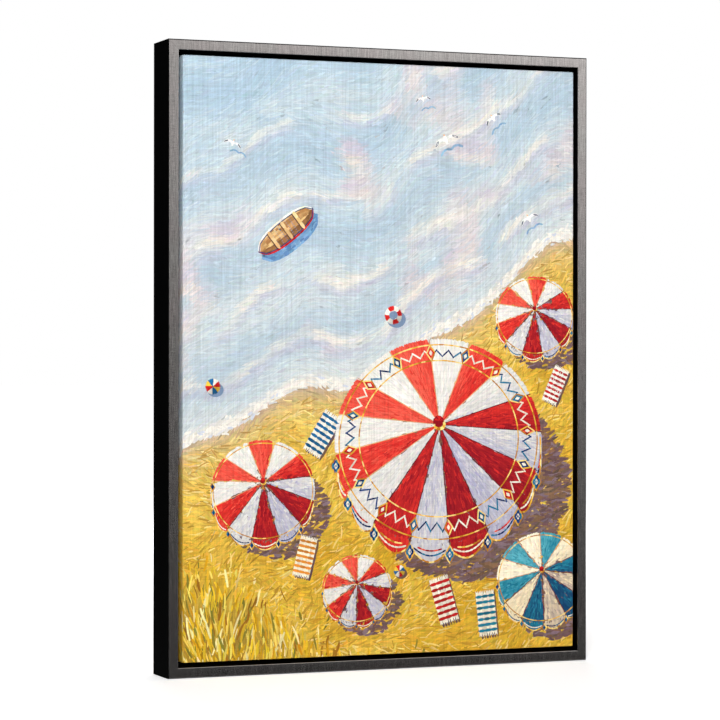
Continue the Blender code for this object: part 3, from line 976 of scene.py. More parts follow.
towels = (
    dict(x=172, z=262, length=48, width=24, turn=58, first=(34, 100, 146), second=(240, 234, 220)),
    dict(x=328, z=62, length=50, width=25, turn=106, first=(196, 40, 38), second=(242, 232, 212)),
    dict(x=384, z=44, length=48, width=24, turn=96, first=(38, 122, 146), second=(242, 232, 208)),
    dict(x=150, z=118, length=42, width=21, turn=76, first=(222, 140, 52), second=(244, 232, 204)),
    dict(x=476, z=318, length=40, width=20, turn=66, first=(196, 40, 38), second=(240, 236, 226)),
)
towelForm = dict(
    threads=7, stripes=7, fringe=11, shadowRight=2.4, shadowDown=2.6, shadow=((96, 72, 74), (112, 84, 66)),
    shadowLift=0.205, clothLift=0.232, stripeLift=0.262,
)


def shaded(colour, share):
    return tuple(tone * share for tone in colour)


def towelStrokes(pile, item):
    turn = radians(item["turn"])
    alongX, alongZ = cos(turn), sin(turn)
    first, second = item["first"], item["second"]

    def place(along, side):
        return item["x"] + alongX * along - alongZ * side, item["z"] + alongZ * along + alongX * side

    half = item["length"] / 2
    sides = np.linspace(-0.42, 0.42, towelForm["threads"]) * item["width"]
    for side in sides:
        x, z = place(np.linspace(-half, half, 4), side)
        lineStrokes(pile, x + towelForm["shadowRight"], z - towelForm["shadowDown"], 3.8,
                    towelForm["shadow"], towelForm["shadowLift"])
    for side in sides:
        x, z = place(np.linspace(-half, half, 5), side)
        lineStrokes(pile, x, z, 4.2, (second, shaded(second, 0.94)), towelForm["clothLift"], 1.3)
    stripes = towelForm["stripes"]
    thick = item["length"] / stripes * 0.55
    for k in range(stripes):
        along = ((k + 0.5) / stripes - 0.5) * item["length"]
        x, z = place(np.full(4, along), np.linspace(-0.5, 0.5, 4) * item["width"])
        lineStrokes(pile, x, z, thick, (first, shaded(first, 0.85)), towelForm["stripeLift"], 1.1)
    fringe, lift = towelForm["fringe"], towelForm["stripeLift"]
    for end in (-1, 1):
        x, z = place(np.full(fringe, end * (half + 1.6)), np.linspace(-0.48, 0.48, fringe) * item["width"])
        pile.add(x, z, turn + dice.normal(0, 0.15, fringe), 4.2, 0.9, creamTones[0], lift)


# Round things in stripes: a ball on the sand and rings on the water
balls = (
    dict(
        x=262, z=402, radius=11, hole=0.5, shadow=(118, 138, 166),
        colours=((206, 36, 34), (240, 234, 222)),
    ),
    dict(
        x=36, z=318, radius=9, hole=0.0, shadow=(118, 140, 168),
        colours=((206, 36, 34), (240, 234, 222), (34, 100, 150), (236, 192, 66)),
    ),
    dict(
        x=270, z=98, radius=7, hole=0.0, shadow=(104, 80, 72),
        colours=((34, 100, 150), (240, 234, 222), (206, 36, 34), (236, 192, 66)),
    ),
)
ballForm = dict(
    segments=8, perSegment=6, shadowRight=0.35, shadowDown=0.45, shadowLift=0.222, stripeLift=0.262,
)


def ballStrokes(pile, item):
    radius, hole = item["radius"], item["hole"]
    shadowX = item["x"] + ballForm["shadowRight"] * radius
    shadowZ = item["z"] - ballForm["shadowDown"] * radius
    around = np.linspace(0, wholeTurn, 25)[:-1]
    for reach in (0.35, 0.7, 0.95):
        pile.add(shadowX + reach * radius * np.cos(around), shadowZ + reach * radius * 0.8 * np.sin(around),
                 around + pi / 2, radius * 0.5, radius * 0.3, item["shadow"], ballForm["shadowLift"])
    middle = (1 + hole) / 2 * radius
    count = ballForm["segments"] * ballForm["perSegment"]
    for k in range(count):
        angle = k / count * wholeTurn
        tone = np.asarray(item["colours"][(k // ballForm["perSegment"]) % len(item["colours"])], float)
        shade = 0.92 + 0.16 * cos(angle - parasolForm["lightFrom"])
        x, z = np.array([[item["x"] + middle * cos(angle)], [item["z"] + middle * sin(angle)]])
        pile.add(x, z, angle, radius * (1 - hole) * 1.05, max(radius * 0.17, 1.1),
                 np.clip(tone * shade, 0, 255), ballForm["stripeLift"])


# Birds over the water: two bent wings each, and a faint shadow below
birds = (
    dict(x=330, z=612, span=30, turn=24), dict(x=392, z=640, span=22, turn=38),
    dict(x=300, z=660, span=18, turn=12), dict(x=60, z=600, span=20, turn=-20),
    dict(x=440, z=520, span=24, turn=30),
)
birdForm = dict(
    shadow=((126, 160, 190), (140, 172, 198)), wing=((252, 249, 240), (236, 236, 232)),
    tip=((86, 92, 108),), body=(254, 252, 244), beak=(240, 170, 60), shadowRight=7, shadowDown=11,
    shadowLift=0.205, wingLift=0.262, bodyLift=0.285, beakLift=0.29,
)


def birdStrokes(pile, item):
    turn, span = radians(item["turn"]), item["span"]
    half = span / 2
    for side in (-1, 1):
        along = np.array([0.0, 0.35, 0.7, 1.0]) * half * side
        sweep = np.array([0.0, 0.16, 0.10, -0.14]) * half
        x = item["x"] + cos(turn) * along - sin(turn) * sweep
        z = item["z"] + sin(turn) * along + cos(turn) * sweep
        lineStrokes(pile, x + birdForm["shadowRight"], z - birdForm["shadowDown"], span * 0.10,
                    birdForm["shadow"], birdForm["shadowLift"])
        lineStrokes(pile, x, z, span * 0.13, birdForm["wing"], birdForm["wingLift"])
        lineStrokes(pile, x[2:], z[2:], span * 0.08, birdForm["tip"], birdForm["bodyLift"])
    x, z = np.array([[item["x"]], [item["z"]]], float)
    pile.add(x, z, turn + pi / 2, span * 0.34, span * 0.13, birdForm["body"], birdForm["bodyLift"])
    pile.add(x - sin(turn) * span * 0.2, z + cos(turn) * span * 0.2, turn + pi / 2, span * 0.09,
             span * 0.05, birdForm["beak"], birdForm["beakLift"])


# A small rowing boat on the water, drawn along its own length
boat = dict(
    x=126, z=500, length=84, width=27, turn=38, shadowRight=5, shadowDown=7, seats=(-0.45, 0.02, 0.48),
    shadow=((104, 146, 184), (122, 160, 196), (92, 128, 172)), line=((40, 70, 112), (28, 56, 96)),
    litFloor=((196, 150, 96), (222, 184, 128), (170, 122, 74)), dimFloor=((128, 88, 56), (150, 106, 66)),
    paleRim=((250, 244, 230), (236, 226, 206)), redRim=((206, 44, 38), (170, 30, 34)),
    seat=((232, 200, 148), (214, 176, 120)), seatShade=((96, 62, 44), (78, 54, 50)),
)
boatLift = dict(shadow=0.200, floor=0.222, rim=0.240, line=0.246, seat=0.252, seatShade=0.256)


def boatStrokes(pile):
    turn = radians(boat["turn"])
    half = boat["length"] / 2

    def place(along, side):
        x = boat["x"] + cos(turn) * along - sin(turn) * side
        return x, boat["z"] + sin(turn) * along + cos(turn) * side

    def hullSide(along, share):
        return share * boat["width"] / 2 * np.sqrt(np.clip(1 - np.abs(along / half) ** 2.4, 0, 1))

    along = np.linspace(-half, half, 15)
    for share in np.linspace(-1.1, 1.1, 12):
        x, z = place(along, hullSide(along, share))
        lineStrokes(pile, x + boat["shadowRight"], z - boat["shadowDown"], 3.0, boat["shadow"],
                    boatLift["shadow"])
    for share in np.linspace(-0.8, 0.8, 9):
        x, z = place(along * 0.94, hullSide(along, share))
        tones = boat["litFloor"] if share > -0.3 else boat["dimFloor"]
        lineStrokes(pile, x, z, 2.8, tones, boatLift["floor"])
    for share, tones in ((1.0, boat["paleRim"]), (-1.0, boat["redRim"])):
        x, z = place(along, hullSide(along, share))
        lineStrokes(pile, x, z, 2.6, tones, boatLift["rim"])
        x, z = place(along, hullSide(along, share * 0.86))
        lineStrokes(pile, x, z, 1.2, boat["line"], boatLift["line"])
    for position in boat["seats"]:
        side = np.linspace(-0.78, 0.78, 4) * boat["width"] / 2
        x, z = place(np.full(4, position * half), side)
        lineStrokes(pile, x, z, 4.2, boat["seat"], boatLift["seat"])
        x, z = place(np.full(4, position * half - 2.8), side)
        lineStrokes(pile, x, z, 1.2, boat["seatShade"], boatLift["seatShade"])


fieldLayers = (
    dict(count=5200, length=27, width=9.5, lift=0.02, liveliness=0.7),
    dict(count=12500, length=17, width=5.0, lift=0.06, liveliness=1.0),
    dict(count=20000, length=10, width=2.6, lift=0.105, liveliness=1.15),
)
# Fine marks: how many, and between which heights over the cloth (mm) they lie
markLayers = dict(
    sand=(9000, (0.15, 0.19)), water=(9000, (0.15, 0.19)), grass=(14000, (0.16, 0.21)),
    foam=(16000, (0.19, 0.22)),
)


def paintPicture():
    pile = StrokePile()
    for layer in fieldLayers:
        fieldStrokes(pile, **layer)
    sandMarks(pile, *markLayers["sand"])
    waterMarks(pile, *markLayers["water"])
    grassBlades(pile, *markLayers["grass"])
    foamDabs(pile, *markLayers["foam"])
    for item in parasols:
        parasolShadow(pile, item)
    for item in towels:
        towelStrokes(pile, item)
    boatStrokes(pile)
    for item in balls:
        ballStrokes(pile, item)
    for item in birds:
        birdStrokes(pile, item)
    for item in sorted(parasols, key=lambda one: -one["z"]):
        canopyStrokes(pile, item)
        canopyFolds(pile, item)
        canopySeams(pile, item)
        valance(pile, item)
        canopyBands(pile, item)
        finial(pile, item)
    return pile.joined()


# One daub of paint, a unit long and wide: tapered, bent a little, raised along its middle
def daubMesh(name, bend, blunt, alongSteps, acrossSteps):
    shape = bmesh.new()
    bmesh.ops.create_grid(shape, x_segments=alongSteps, y_segments=acrossSteps, size=0.5)
    edge = shape.loops.layers.uv.new("stroke")
    for face in shape.faces:
        for loop in face.loops:
            loop[edge].uv = (loop.vert.co.x + 0.5, loop.vert.co.y + 0.5)
    for vert in shape.verts:
        along, across = vert.co.x * 2, vert.co.y * 2
        taper = 1 - (1 - blunt) * abs(along) ** 3
        vert.co.z = (1 - across * across) * (0.25 + 0.75 * (1 - along * along))
        vert.co.y = across / 2 * taper
        vert.co.x += 0.06 * (1 - across * across) * np.sign(along) * abs(along) ** 4
        vert.co.y += bend * (0.5 - along * along)
    return bmeshToMesh(shape, name)


def daubCollection(name, alongSteps, acrossSteps):
    collection = bpy.data.collections.new(name)
    forms = [(bend, blunt) for bend in (-1, 0, 1) for blunt in (0.35, 0.7)]
    for k, (bend, blunt) in enumerate(forms):
        label = name + "_" + str(k)
        daub = bpy.data.objects.new(label, daubMesh(label, 0.35 * bend, blunt, alongSteps, acrossSteps))
        collection.objects.link(daub)
    return collection


# A group that sets a daub on every point and makes them one mesh
def scatterGroup(collection):
    group = bpy.data.node_groups.new("scatter " + collection.name, "GeometryNodeTree")
    group.interface.new_socket("Geometry", in_out="INPUT", socket_type="NodeSocketGeometry")
    group.interface.new_socket("Geometry", in_out="OUTPUT", socket_type="NodeSocketGeometry")
    start = group.nodes.new("NodeGroupInput")
    end = group.nodes.new("NodeGroupOutput")
    source = group.nodes.new("GeometryNodeCollectionInfo")
    source.inputs["Collection"].default_value = collection
    source.inputs["Separate Children"].default_value = True
    source.inputs["Reset Children"].default_value = True
    placed = group.nodes.new("GeometryNodeInstanceOnPoints")
    placed.inputs["Pick Instance"].default_value = True
    merged = group.nodes.new("GeometryNodeRealizeInstances")
    link = group.links.new
    rules = (
        ("form", "INT", "Instance Index"), ("turn", "FLOAT_VECTOR", "Rotation"),
        ("size", "FLOAT_VECTOR", "Scale"),
    )
    for name, kind, socket in rules:
        value = group.nodes.new("GeometryNodeInputNamedAttribute")
        value.data_type = kind
        value.inputs["Name"].default_value = name
        link(value.outputs["Attribute"], placed.inputs[socket])
    link(start.outputs[0], placed.inputs["Points"])
    link(source.outputs["Instances"], placed.inputs["Instance"])
    link(placed.outputs["Instances"], merged.inputs["Geometry"])
    link(merged.outputs["Geometry"], end.inputs[0])
    return group


def strokeMesh(name, strokes, chosen, group):
    count = int(chosen.sum())
    points = bpy.data.meshes.new(name)
    points.vertices.add(count)
    place = np.stack([
        strokes["x"][chosen] / 1000 - canvasWidth / 2, strokes["z"][chosen] / 1000 - canvasHeight / 2,
        strokes["lift"][chosen] / 1000,
    ], 1)
    points.vertices.foreach_set("co", place.astype(np.float32).ravel())
    turn = np.zeros((count, 3))
    turn[:, 2] = strokes["turn"][chosen]
    ridge = 0.018 + 0.004 * strokes["width"][chosen]
    size = np.stack([strokes["length"][chosen], strokes["width"][chosen], ridge], 1) / 1000
    form = (strokes["bend"][chosen] + 1).astype(int) * 2 + dice.integers(0, 2, count)
    colour = np.ones((count, 4))
    colour[:, :3] = toLinear(strokes["colour"][chosen])
    rows = (
        ("turn", "FLOAT_VECTOR", "vector", turn),
        ("size", "FLOAT_VECTOR", "vector", size),
        ("form", "INT", "value", form),
        ("paint", "FLOAT_COLOR", "color", colour),
        ("chance", "FLOAT", "value", dice.uniform(0, 1, count)),
    )
    for label, kind, field, value in rows:
        attribute = points.attributes.new(label, kind, "POINT")
        number = np.int32 if kind == "INT" else np.float32
        attribute.data.foreach_set(field, np.asarray(value, number).ravel())
    maker = bpy.data.objects.new(name, points)
    bpy.context.scene.collection.objects.link(maker)
    scattering = maker.modifiers.new("strokes", "NODES")
    scattering.node_group = group
    mesh = evaluatedMesh(maker)
    for label in ("turn", "size", "form"):
        if label in mesh.attributes:
            mesh.attributes.remove(mesh.attributes[label])
    return mesh


def readVectors(mesh):
    place = np.empty(len(mesh.vertices) * 3, np.float32)
    mesh.vertices.foreach_get("co", place)
    return place.reshape(-1, 3).astype(float)


# A flat map of the whole printed sheet, so that strokes keep their places in a baked picture
def mapFlat(mesh):
    place = readVectors(mesh)
    reach = wrapReach / 1000
    across = (place[:, 0] + canvasWidth / 2 + reach) / (canvasWidth + 2 * reach)
    upward = (place[:, 1] + canvasHeight / 2 + reach) / (canvasHeight + 2 * reach)
    corner = np.empty(len(mesh.loops), np.int32)
    mesh.loops.foreach_get("vertex_index", corner)
    layer = mesh.uv_layers.new(name="OFBake")
    layer.data.foreach_set("uv", np.stack([across, upward], 1)[corner].astype(np.float32).ravel())


# Fold a flat stroke mesh over the canvas edges: along the front, round the edge and down the side,
# where painted light makes the paint much paler, to make up for the little light in the gap
def foldOverEdges(mesh):
    radius = clothLook["edgeRadius"]
    place = readVectors(mesh)
    towards = place[:, 2].copy()
    tone = np.ones(len(place))
    for axis, half in ((0, canvasWidth / 2 - radius), (1, canvasHeight / 2 - radius)):
        past = np.clip(np.abs(place[:, axis]) - half, 0, None)
        side = np.sign(place[:, axis])
        angle = np.clip(past / radius, 0, pi / 2)
        down = np.clip(past - radius * pi / 2, 0, None)
        outward = (radius + place[:, 2]) * np.sin(angle)
        bent = past > 0
        place[bent, axis] = (side * (half + outward))[bent]
        towards[bent] = ((radius + place[:, 2]) * np.cos(angle) - radius - down)[bent]
        # Painted light: the paint grows paler round the edge and is much paler down the side
        tone += (clothLook["sidePaintedLight"] - 1) * (angle / (pi / 2)) ** clothLook["paintedLightTurn"]
    world = np.stack(toWorld(place[:, 0], place[:, 1], towards), 1)
    mesh.vertices.foreach_set("co", world.astype(np.float32).ravel())
    paint = mesh.attributes["paint"]
    colour = np.empty(len(place) * 4, np.float32)
    paint.data.foreach_get("color", colour)
    colour = colour.reshape(-1, 4)
    tone = np.clip(tone, 0, clothLook["palest"] / np.maximum(colour[:, :3].max(1), 0.01))
    colour[:, :3] *= tone[:, None]
    paint.data.foreach_set("color", colour.ravel())
    mesh.update()


# Cut the edge strokes where the cloth starts to bend, and drop what runs past the wrapped sides
def cutAtEdges(mesh):
    radius = clothLook["edgeRadius"]
    cuts = ((0, False), (radius * pi / 4, False), (radius * pi / 2, False), (wrapReach / 1000, True))
    shape = bmesh.new()
    shape.from_mesh(mesh)
    for axis, half in ((0, canvasWidth / 2 - radius), (1, canvasHeight / 2 - radius)):
        for side in (1, -1):
            normal = Vector((side, 0, 0)) if axis == 0 else Vector((0, side, 0))
            for distance, clear in cuts:
                bmesh.ops.bisect_plane(
                    shape, geom=shape.verts[:] + shape.edges[:] + shape.faces[:], dist=1e-7,
                    plane_co=normal * (half + distance), plane_no=normal, clear_outer=clear,
                )
    spare = []
    for face in shape.faces:
        middle = face.calc_center_median()
        if abs(middle.x) > canvasWidth / 2 - radius and abs(middle.y) > canvasHeight / 2 - radius:
            spare.append(face)
    bmesh.ops.delete(shape, geom=spare, context="FACES")
    shape.to_mesh(mesh)
    shape.free()


daubs = dict(smallWidth=3.3, fullSteps=(4, 2), smallSteps=(3, 1), fullPerPiece=12000, smallPerPiece=32000)


def buildPicture():
    strokes = paintPicture()
    order = np.argsort(strokes["lift"], kind="stable")
    strokes = {key: value[order] for key, value in strokes.items()}
    print("strokes", len(order))
    reach = np.maximum(strokes["length"], strokes["width"]) * 0.6 + 1
    nearEdge = (
        (strokes["x"] < reach) | (strokes["x"] > pictureWidth - reach)
        | (strokes["z"] < reach) | (strokes["z"] > pictureHeight - reach)
    )
    small = strokes["width"] < daubs["smallWidth"]
    fullDaub = scatterGroup(daubCollection("full_daub", *daubs["fullSteps"]))
    smallDaub = scatterGroup(daubCollection("small_daub", *daubs["smallSteps"]))
    pieces = (
        ("broad_strokes", ~small & ~nearEdge, fullDaub),
        ("fine_strokes", small & ~nearEdge, smallDaub),
        ("broad_edge_strokes", ~small & nearEdge, fullDaub),
        ("fine_edge_strokes", small & nearEdge, smallDaub),
    )
    perPiece = {fullDaub: daubs["fullPerPiece"], smallDaub: daubs["smallPerPiece"]}
    for name, chosen, group in pieces:
        index = np.flatnonzero(chosen)
        parts = max(1, -(-len(index) // perPiece[group]))
        for number, part in enumerate(np.array_split(index, parts)):
            mask = np.zeros(len(chosen), bool)
            mask[part] = True
            label = name if parts == 1 else name + "_" + str(number + 1)
            mesh = strokeMesh(label, strokes, mask, group)
            if "edge" in name:
                cutAtEdges(mesh)
            mapFlat(mesh)
            foldOverEdges(mesh)
            print(label, len(mesh.polygons))
            meshPiece(label, mesh, [strokePaint], smoothAngle=60)


def buildCloth():
    mesh = buildClothMesh()
    flat = np.empty(len(mesh.vertices) * 3, np.float32)
    mesh.attributes["flat"].data.foreach_get("vector", flat)
    flat = flat.reshape(-1, 3)
    colour = np.ones((len(flat), 4))
    x, z = (flat[:, 0] + canvasWidth / 2) * 1000, (flat[:, 1] + canvasHeight / 2) * 1000
    past = np.maximum(np.abs(flat[:, 0]) - canvasWidth / 2, np.abs(flat[:, 1]) - canvasHeight / 2)
    bare = past > clothDepth + clothLook["printedTurn"]
    # Painted light: the printed sides are made paler than the front, for the little light in the gap
    tone = np.where(past > 0.0001, clothLook["sidePaintedLight"], 1.0)[:, None]
    printed = toLinear(sceneColour(x, z) * clothLook["underPaint"]) * tone
    printed = np.clip(printed, 0, clothLook["palest"])
    colour[:, :3] = np.where(bare[:, None], toLinear(clothLook["bare"]), printed)
    paint = mesh.attributes.new("paint", "FLOAT_COLOR", "POINT")
    paint.data.foreach_set("color", colour.astype(np.float32).ravel())
    mesh.attributes.remove(mesh.attributes["flat"])
    piece = meshPiece("canvas_cloth", mesh, [cloth, bareCloth], smoothAngle=60)
    thick = piece.modifiers.new("thickness", "SOLIDIFY")
    thick.thickness = clothLook["thickness"]
    thick.offset = -1
    thick.use_even_offset = True
    thick.material_offset = 1
    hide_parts("canvas")


buildCloth()
print("cloth stretched")
buildPicture()
print("picture painted")


# The back: eased copies of the wooden and metal pieces, screw heads, staples and mitre wedges

easing = dict(stretcher=0.0010, brace=0.0010, key=0.0004, hanger=0.00016, bumper=0.0007)


def easedCopy(node, name, radius, finish, shortest=0.0, segments=2):
    shape = bmesh.new()
    shape.from_mesh(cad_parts[node].data)
    bmesh.ops.remove_doubles(shape, verts=shape.verts, dist=1e-6)
    bmesh.ops.dissolve_limit(shape, angle_limit=radians(1), verts=shape.verts, edges=shape.edges)
    solid = [edge for edge in shape.edges if edge.is_manifold and edge.calc_length() > shortest]
    arrises = [edge for edge in solid if edge.calc_face_angle_signed() > radians(28)]
    bmesh.ops.bevel(
        shape, geom=arrises, offset=radius, offset_type="OFFSET", affect="EDGES", segments=segments,
        profile=0.5, material=-1, clamp_overlap=True,
    )
    piece = meshPiece(name, bmeshToMesh(shape, name), [finish], broadFaces=True)
    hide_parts(node)


def easeBackPieces():
    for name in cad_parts:
        if name.startswith("stretcher"):
            finish = uprightWood if name in ("stretcher_left", "stretcher_right") else levelWood
            easedCopy(name, "bar_" + name, easing["stretcher"], finish, shortest=0.02)
        elif name == "cross_brace":
            easedCopy(name, "brace_bar", easing["brace"], levelWood)
        elif name.startswith("corner_key"):
            easedCopy(name, "wedge_" + name, easing["key"], keyWood, segments=1)
        elif name == "hanger":
            easedCopy(name, "sawtooth_strap", easing["hanger"], hangerSteel, segments=1)
        elif name.startswith("bumper"):
            easedCopy(name, "soft_" + name, easing["bumper"], rubber)


# A turned pan head with a cross cut in it, standing on the XY plane
def panHead(name, radius, height):
    profile = (
        (0.0, height), (0.42 * radius, 0.97 * height), (0.74 * radius, 0.80 * height),
        (0.94 * radius, 0.48 * height), (radius, 0.14 * height), (0.97 * radius, 0.0), (0.0, 0.0),
    )
    shape = bmesh.new()
    points = [shape.verts.new((x, 0, z)) for x, z in profile]
    for first, second in zip(points, points[1:]):
        shape.edges.new((first, second))
    bmesh.ops.spin(
        shape, geom=shape.verts[:] + shape.edges[:], cent=(0, 0, 0), axis=(0, 0, 1), angle=wholeTurn,
        steps=28, use_merge=True,
    )
    bmesh.ops.remove_doubles(shape, verts=shape.verts, dist=1e-6)
    bmesh.ops.recalc_face_normals(shape, faces=shape.faces)
    head = bpy.data.objects.new(name, bmeshToMesh(shape, name))
    cross = bmesh.new()
    for turn in (0, pi / 2):
        made = bmesh.ops.create_cube(cross, size=1.0)
        bmesh.ops.scale(cross, vec=(radius * 1.05, radius * 0.24, height * 0.9), verts=made["verts"])
        for vert in made["verts"]:
            if vert.co.z < 0:
                vert.co.x *= 0.62
                vert.co.y *= 0.7
        bmesh.ops.translate(cross, vec=(0, 0, height * 0.86), verts=made["verts"])
        bmesh.ops.rotate(cross, cent=(0, 0, 0), matrix=Matrix.Rotation(turn, 3, "Z"), verts=made["verts"])
    cutter = bpy.data.objects.new(name + "_recess", bmeshToMesh(cross, name + "_recess"))
    for one in (head, cutter):
        bpy.context.scene.collection.objects.link(one)
    cut = head.modifiers.new("recess", "BOOLEAN")
    cut.operation = "DIFFERENCE"
    cut.object = cutter
    cut.use_self = True
    mesh = evaluatedMesh(head)
    bpy.data.objects.remove(cutter, do_unlink=True)
    return mesh


screwHeads = dict(fixing=dict(radius=0.0036, height=0.0018), hanger=dict(radius=0.0026, height=0.0011))


# Each screw stops at an angle of its own
def setScrews():
    masters = {kind: panHead(kind + "_head", **sizes) for kind, sizes in screwHeads.items()}
    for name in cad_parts:
        if "screw" not in name:
            continue
        kind = "fixing" if name.startswith("fixing") else "hanger"
        low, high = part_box(name)
        seat = high[1] - screwHeads[kind]["height"]
        place = Vector(((low[0] + high[0]) / 2, seat, (low[2] + high[2]) / 2))
        shape = bmesh.new()
        shape.from_mesh(masters[kind])
        turn = Matrix.Rotation(radians(61 * (len(name) % 7) + 13 * (place.x > 0)), 4, "Z")
        stand = Matrix.Translation(place) @ Matrix.Rotation(-pi / 2, 4, "X") @ turn
        bmesh.ops.transform(shape, matrix=stand, verts=shape.verts)
        label = name + "_head"
        piece = meshPiece(label, bmeshToMesh(shape, label), [screwSteel], 30)
        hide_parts(name)


stapling = dict(
    spacing=0.045, inset=0.0245, crown=0.0100, wire=0.0011, height=0.0005, leg=0.0016, sunk=0.0008,
    easing=0.00016, proud=0.0001, corner=0.040, drift=0.0018, sway=0.0007, slack=7,
)


# A bent wire: a crown and two short ends that go into the wood
def addStaple(shape, place, turn):
    legs = [(side, stapling["wire"], stapling["leg"], stapling["sunk"]) for side in (-1, 1)]
    verts = []
    for side, length, height, sunk in [(0, stapling["crown"], stapling["height"], 0), *legs]:
        made = bmesh.ops.create_cube(shape, size=1.0)["verts"]
        bmesh.ops.scale(shape, vec=(length, stapling["wire"], height), verts=made)
        shift = side * (stapling["crown"] - stapling["wire"]) / 2
        bmesh.ops.translate(shape, vec=(shift, 0, -sunk), verts=made)
        edges = list({edge for vert in made for edge in vert.link_edges})
        bevelled = bmesh.ops.bevel(
            shape, geom=edges, offset=stapling["easing"], offset_type="OFFSET", affect="EDGES",
            segments=1, profile=0.5, material=-1,
        )
        verts += bevelled["verts"]
    stand = Matrix.Translation(place) @ Matrix.Rotation(-pi / 2, 4, "X") @ Matrix.Rotation(turn, 4, "Z")
    bmesh.ops.transform(shape, matrix=stand, verts=list(set(verts)))


def drawStaples():
    chance = np.random.default_rng(11)
    shape = bmesh.new()
    halfWidth, halfHeight = canvasWidth / 2 - stapling["inset"], canvasHeight / 2 - stapling["inset"]
    for along, across, upright in ((halfHeight, halfWidth, True), (halfWidth, halfHeight, False)):
        reach = along - stapling["corner"]
        count = int(2 * reach / stapling["spacing"]) + 1
        for side in (-1, 1):
            for position in np.linspace(-reach, reach, count):
                position = position + chance.normal(0, stapling["drift"])
                offset = side * (across + chance.normal(0, stapling["sway"]))
                x, z = (offset, position) if upright else (position, offset)
                turn = (pi / 2 if upright else 0) + radians(chance.normal(0, stapling["slack"]))
                addStaple(shape, Vector((x, canvasHigh[1] + stapling["proud"], centreZ + z)), turn)
    meshPiece("staples", bmeshToMesh(shape, "staples"), [stapleSteel], 30)


wedges = dict(
    places=(0.015, 0.027), diagonal=1.4142, width=0.0080, wire=0.0007, depth=0.001, proud=0.00015,
    spread=62,
)


# Steel wedges driven into the back across each mitre, each a shallow V
def driveWedges():
    shape = bmesh.new()
    for sideX in (-1, 1):
        for sideZ in (-1, 1):
            corner = Vector((sideX * outerWidth / 2, backY, centreZ + sideZ * outerHeight / 2))
            inward = Vector((-sideX, 0, -sideZ)).normalized()
            for distance in wedges["places"]:
                middle = corner + inward * distance * wedges["diagonal"]
                for arm in (-1, 1):
                    made = bmesh.ops.create_cube(shape, size=1.0)["verts"]
                    sizes = (wedges["width"] / 2, wedges["wire"], wedges["depth"])
                    bmesh.ops.scale(shape, vec=sizes, verts=made)
                    bmesh.ops.translate(shape, vec=(wedges["width"] / 4, 0, 0), verts=made)
                    angle = radians(90 + wedges["spread"] * arm) + np.arctan2(sideZ, -sideX)
                    turn = Matrix.Rotation(angle, 3, "Z")
                    bmesh.ops.rotate(shape, cent=(0, 0, 0), matrix=turn, verts=made)
                    stand = Matrix.Translation(middle) @ Matrix.Rotation(-pi / 2, 4, "X")
                    bmesh.ops.transform(shape, matrix=stand, verts=made)
                    sunk = wedges["depth"] / 2 - wedges["proud"]
                    bmesh.ops.translate(shape, vec=(0, -sunk, 0), verts=made)
    meshPiece("mitre_wedges", bmeshToMesh(shape, "mitre_wedges"), [stapleSteel], 30)


easeBackPieces()
setScrews()
drawStaples()
driveWedges()
print("back fitted")


# Floor, lights and surroundings

studio = dict(
    floorSize=60.0, floorTone=0.92, glowStart=0.4, glowEnd=2.0, nearGlow=0.46, farGlow=1.0, ambient=0.06,
    mirrorStrength=1.3,
    lamps=(  # name, watts, width, place seen from the picture's middle
        ("key", 67.0, 0.4, (-1.28, -2.75, 1.70)), ("side", 7.0, 1.4, (2.9, -0.7, 0.5)),
        ("top", 9.0, 2.2, (0.1, -0.5, 2.3)), ("back", 50.0, 1.6, (0.8, 2.6, 1.3)),
    ),
)


# What shiny surfaces mirror, by height from straight down (0) to straight up (1), and the share that
# comes from the left (0) to the right (1)
mirrorTones = dict(
    front=[
        (0.0, (0.60, 0.60, 0.60)), (0.26, (0.42, 0.42, 0.42)), (0.34, (0.008, 0.0075, 0.007)),
        (0.462, (0.0035, 0.0033, 0.0031)), (0.506, (0.055, 0.052, 0.050)), (0.556, (0.96, 0.955, 0.95)),
        (1.0, (1.0, 1.0, 1.0)),
    ],
    behind=[
        (0.0, (0.60, 0.60, 0.60)), (0.40, (0.45, 0.45, 0.45)), (0.46, (0.03, 0.03, 0.03)),
        (0.56, (0.03, 0.03, 0.03)), (0.70, (0.13, 0.13, 0.13)), (1.0, (0.4, 0.4, 0.4)),
    ],
    across=[
        (0.0, (0.84, 0.84, 0.84)), (0.42, (0.80, 0.80, 0.80)), (0.52, (0.36, 0.36, 0.36)),
        (0.62, (0.36, 0.36, 0.36)), (0.77, (0.90, 0.90, 0.90)), (1.0, (0.90, 0.90, 0.90)),
    ],
)


# The floor gets paler away from the object, so that it runs into the white behind
def floorFinish():
    material, tree, shader = startFinish("pale floor")
    tone = studio["floorTone"]
    shader.inputs["Base Color"].default_value = (tone, tone, tone, 1)
    shader.inputs["Roughness"].default_value = 0.9
    shader.inputs["Specular IOR Level"].default_value = 0.0
    shader.inputs["Emission Color"].default_value = (1, 1, 1, 1)
    place = addNode(tree, "ShaderNodeTexCoord")
    far = addNode(tree, "ShaderNodeVectorMath", operation="LENGTH")
    tree.links.new(place.outputs["Object"], far.inputs[0])
    glow = addNode(tree, "ShaderNodeMapRange", {
        "From Min": studio["glowStart"], "From Max": studio["glowEnd"],
        "To Min": studio["nearGlow"], "To Max": studio["farGlow"],
    })
    tree.links.new(far.outputs["Value"], glow.inputs["Value"])
    tree.links.new(glow.outputs["Result"], shader.inputs["Emission Strength"])
    return material


def smoothStep(tree, value, start, end):
    node = addNode(
        tree, "ShaderNodeMapRange", {"From Min": start, "From Max": end}, interpolation_type="SMOOTHSTEP",
    )
    tree.links.new(value, node.inputs["Value"])
    return node.outputs["Result"]


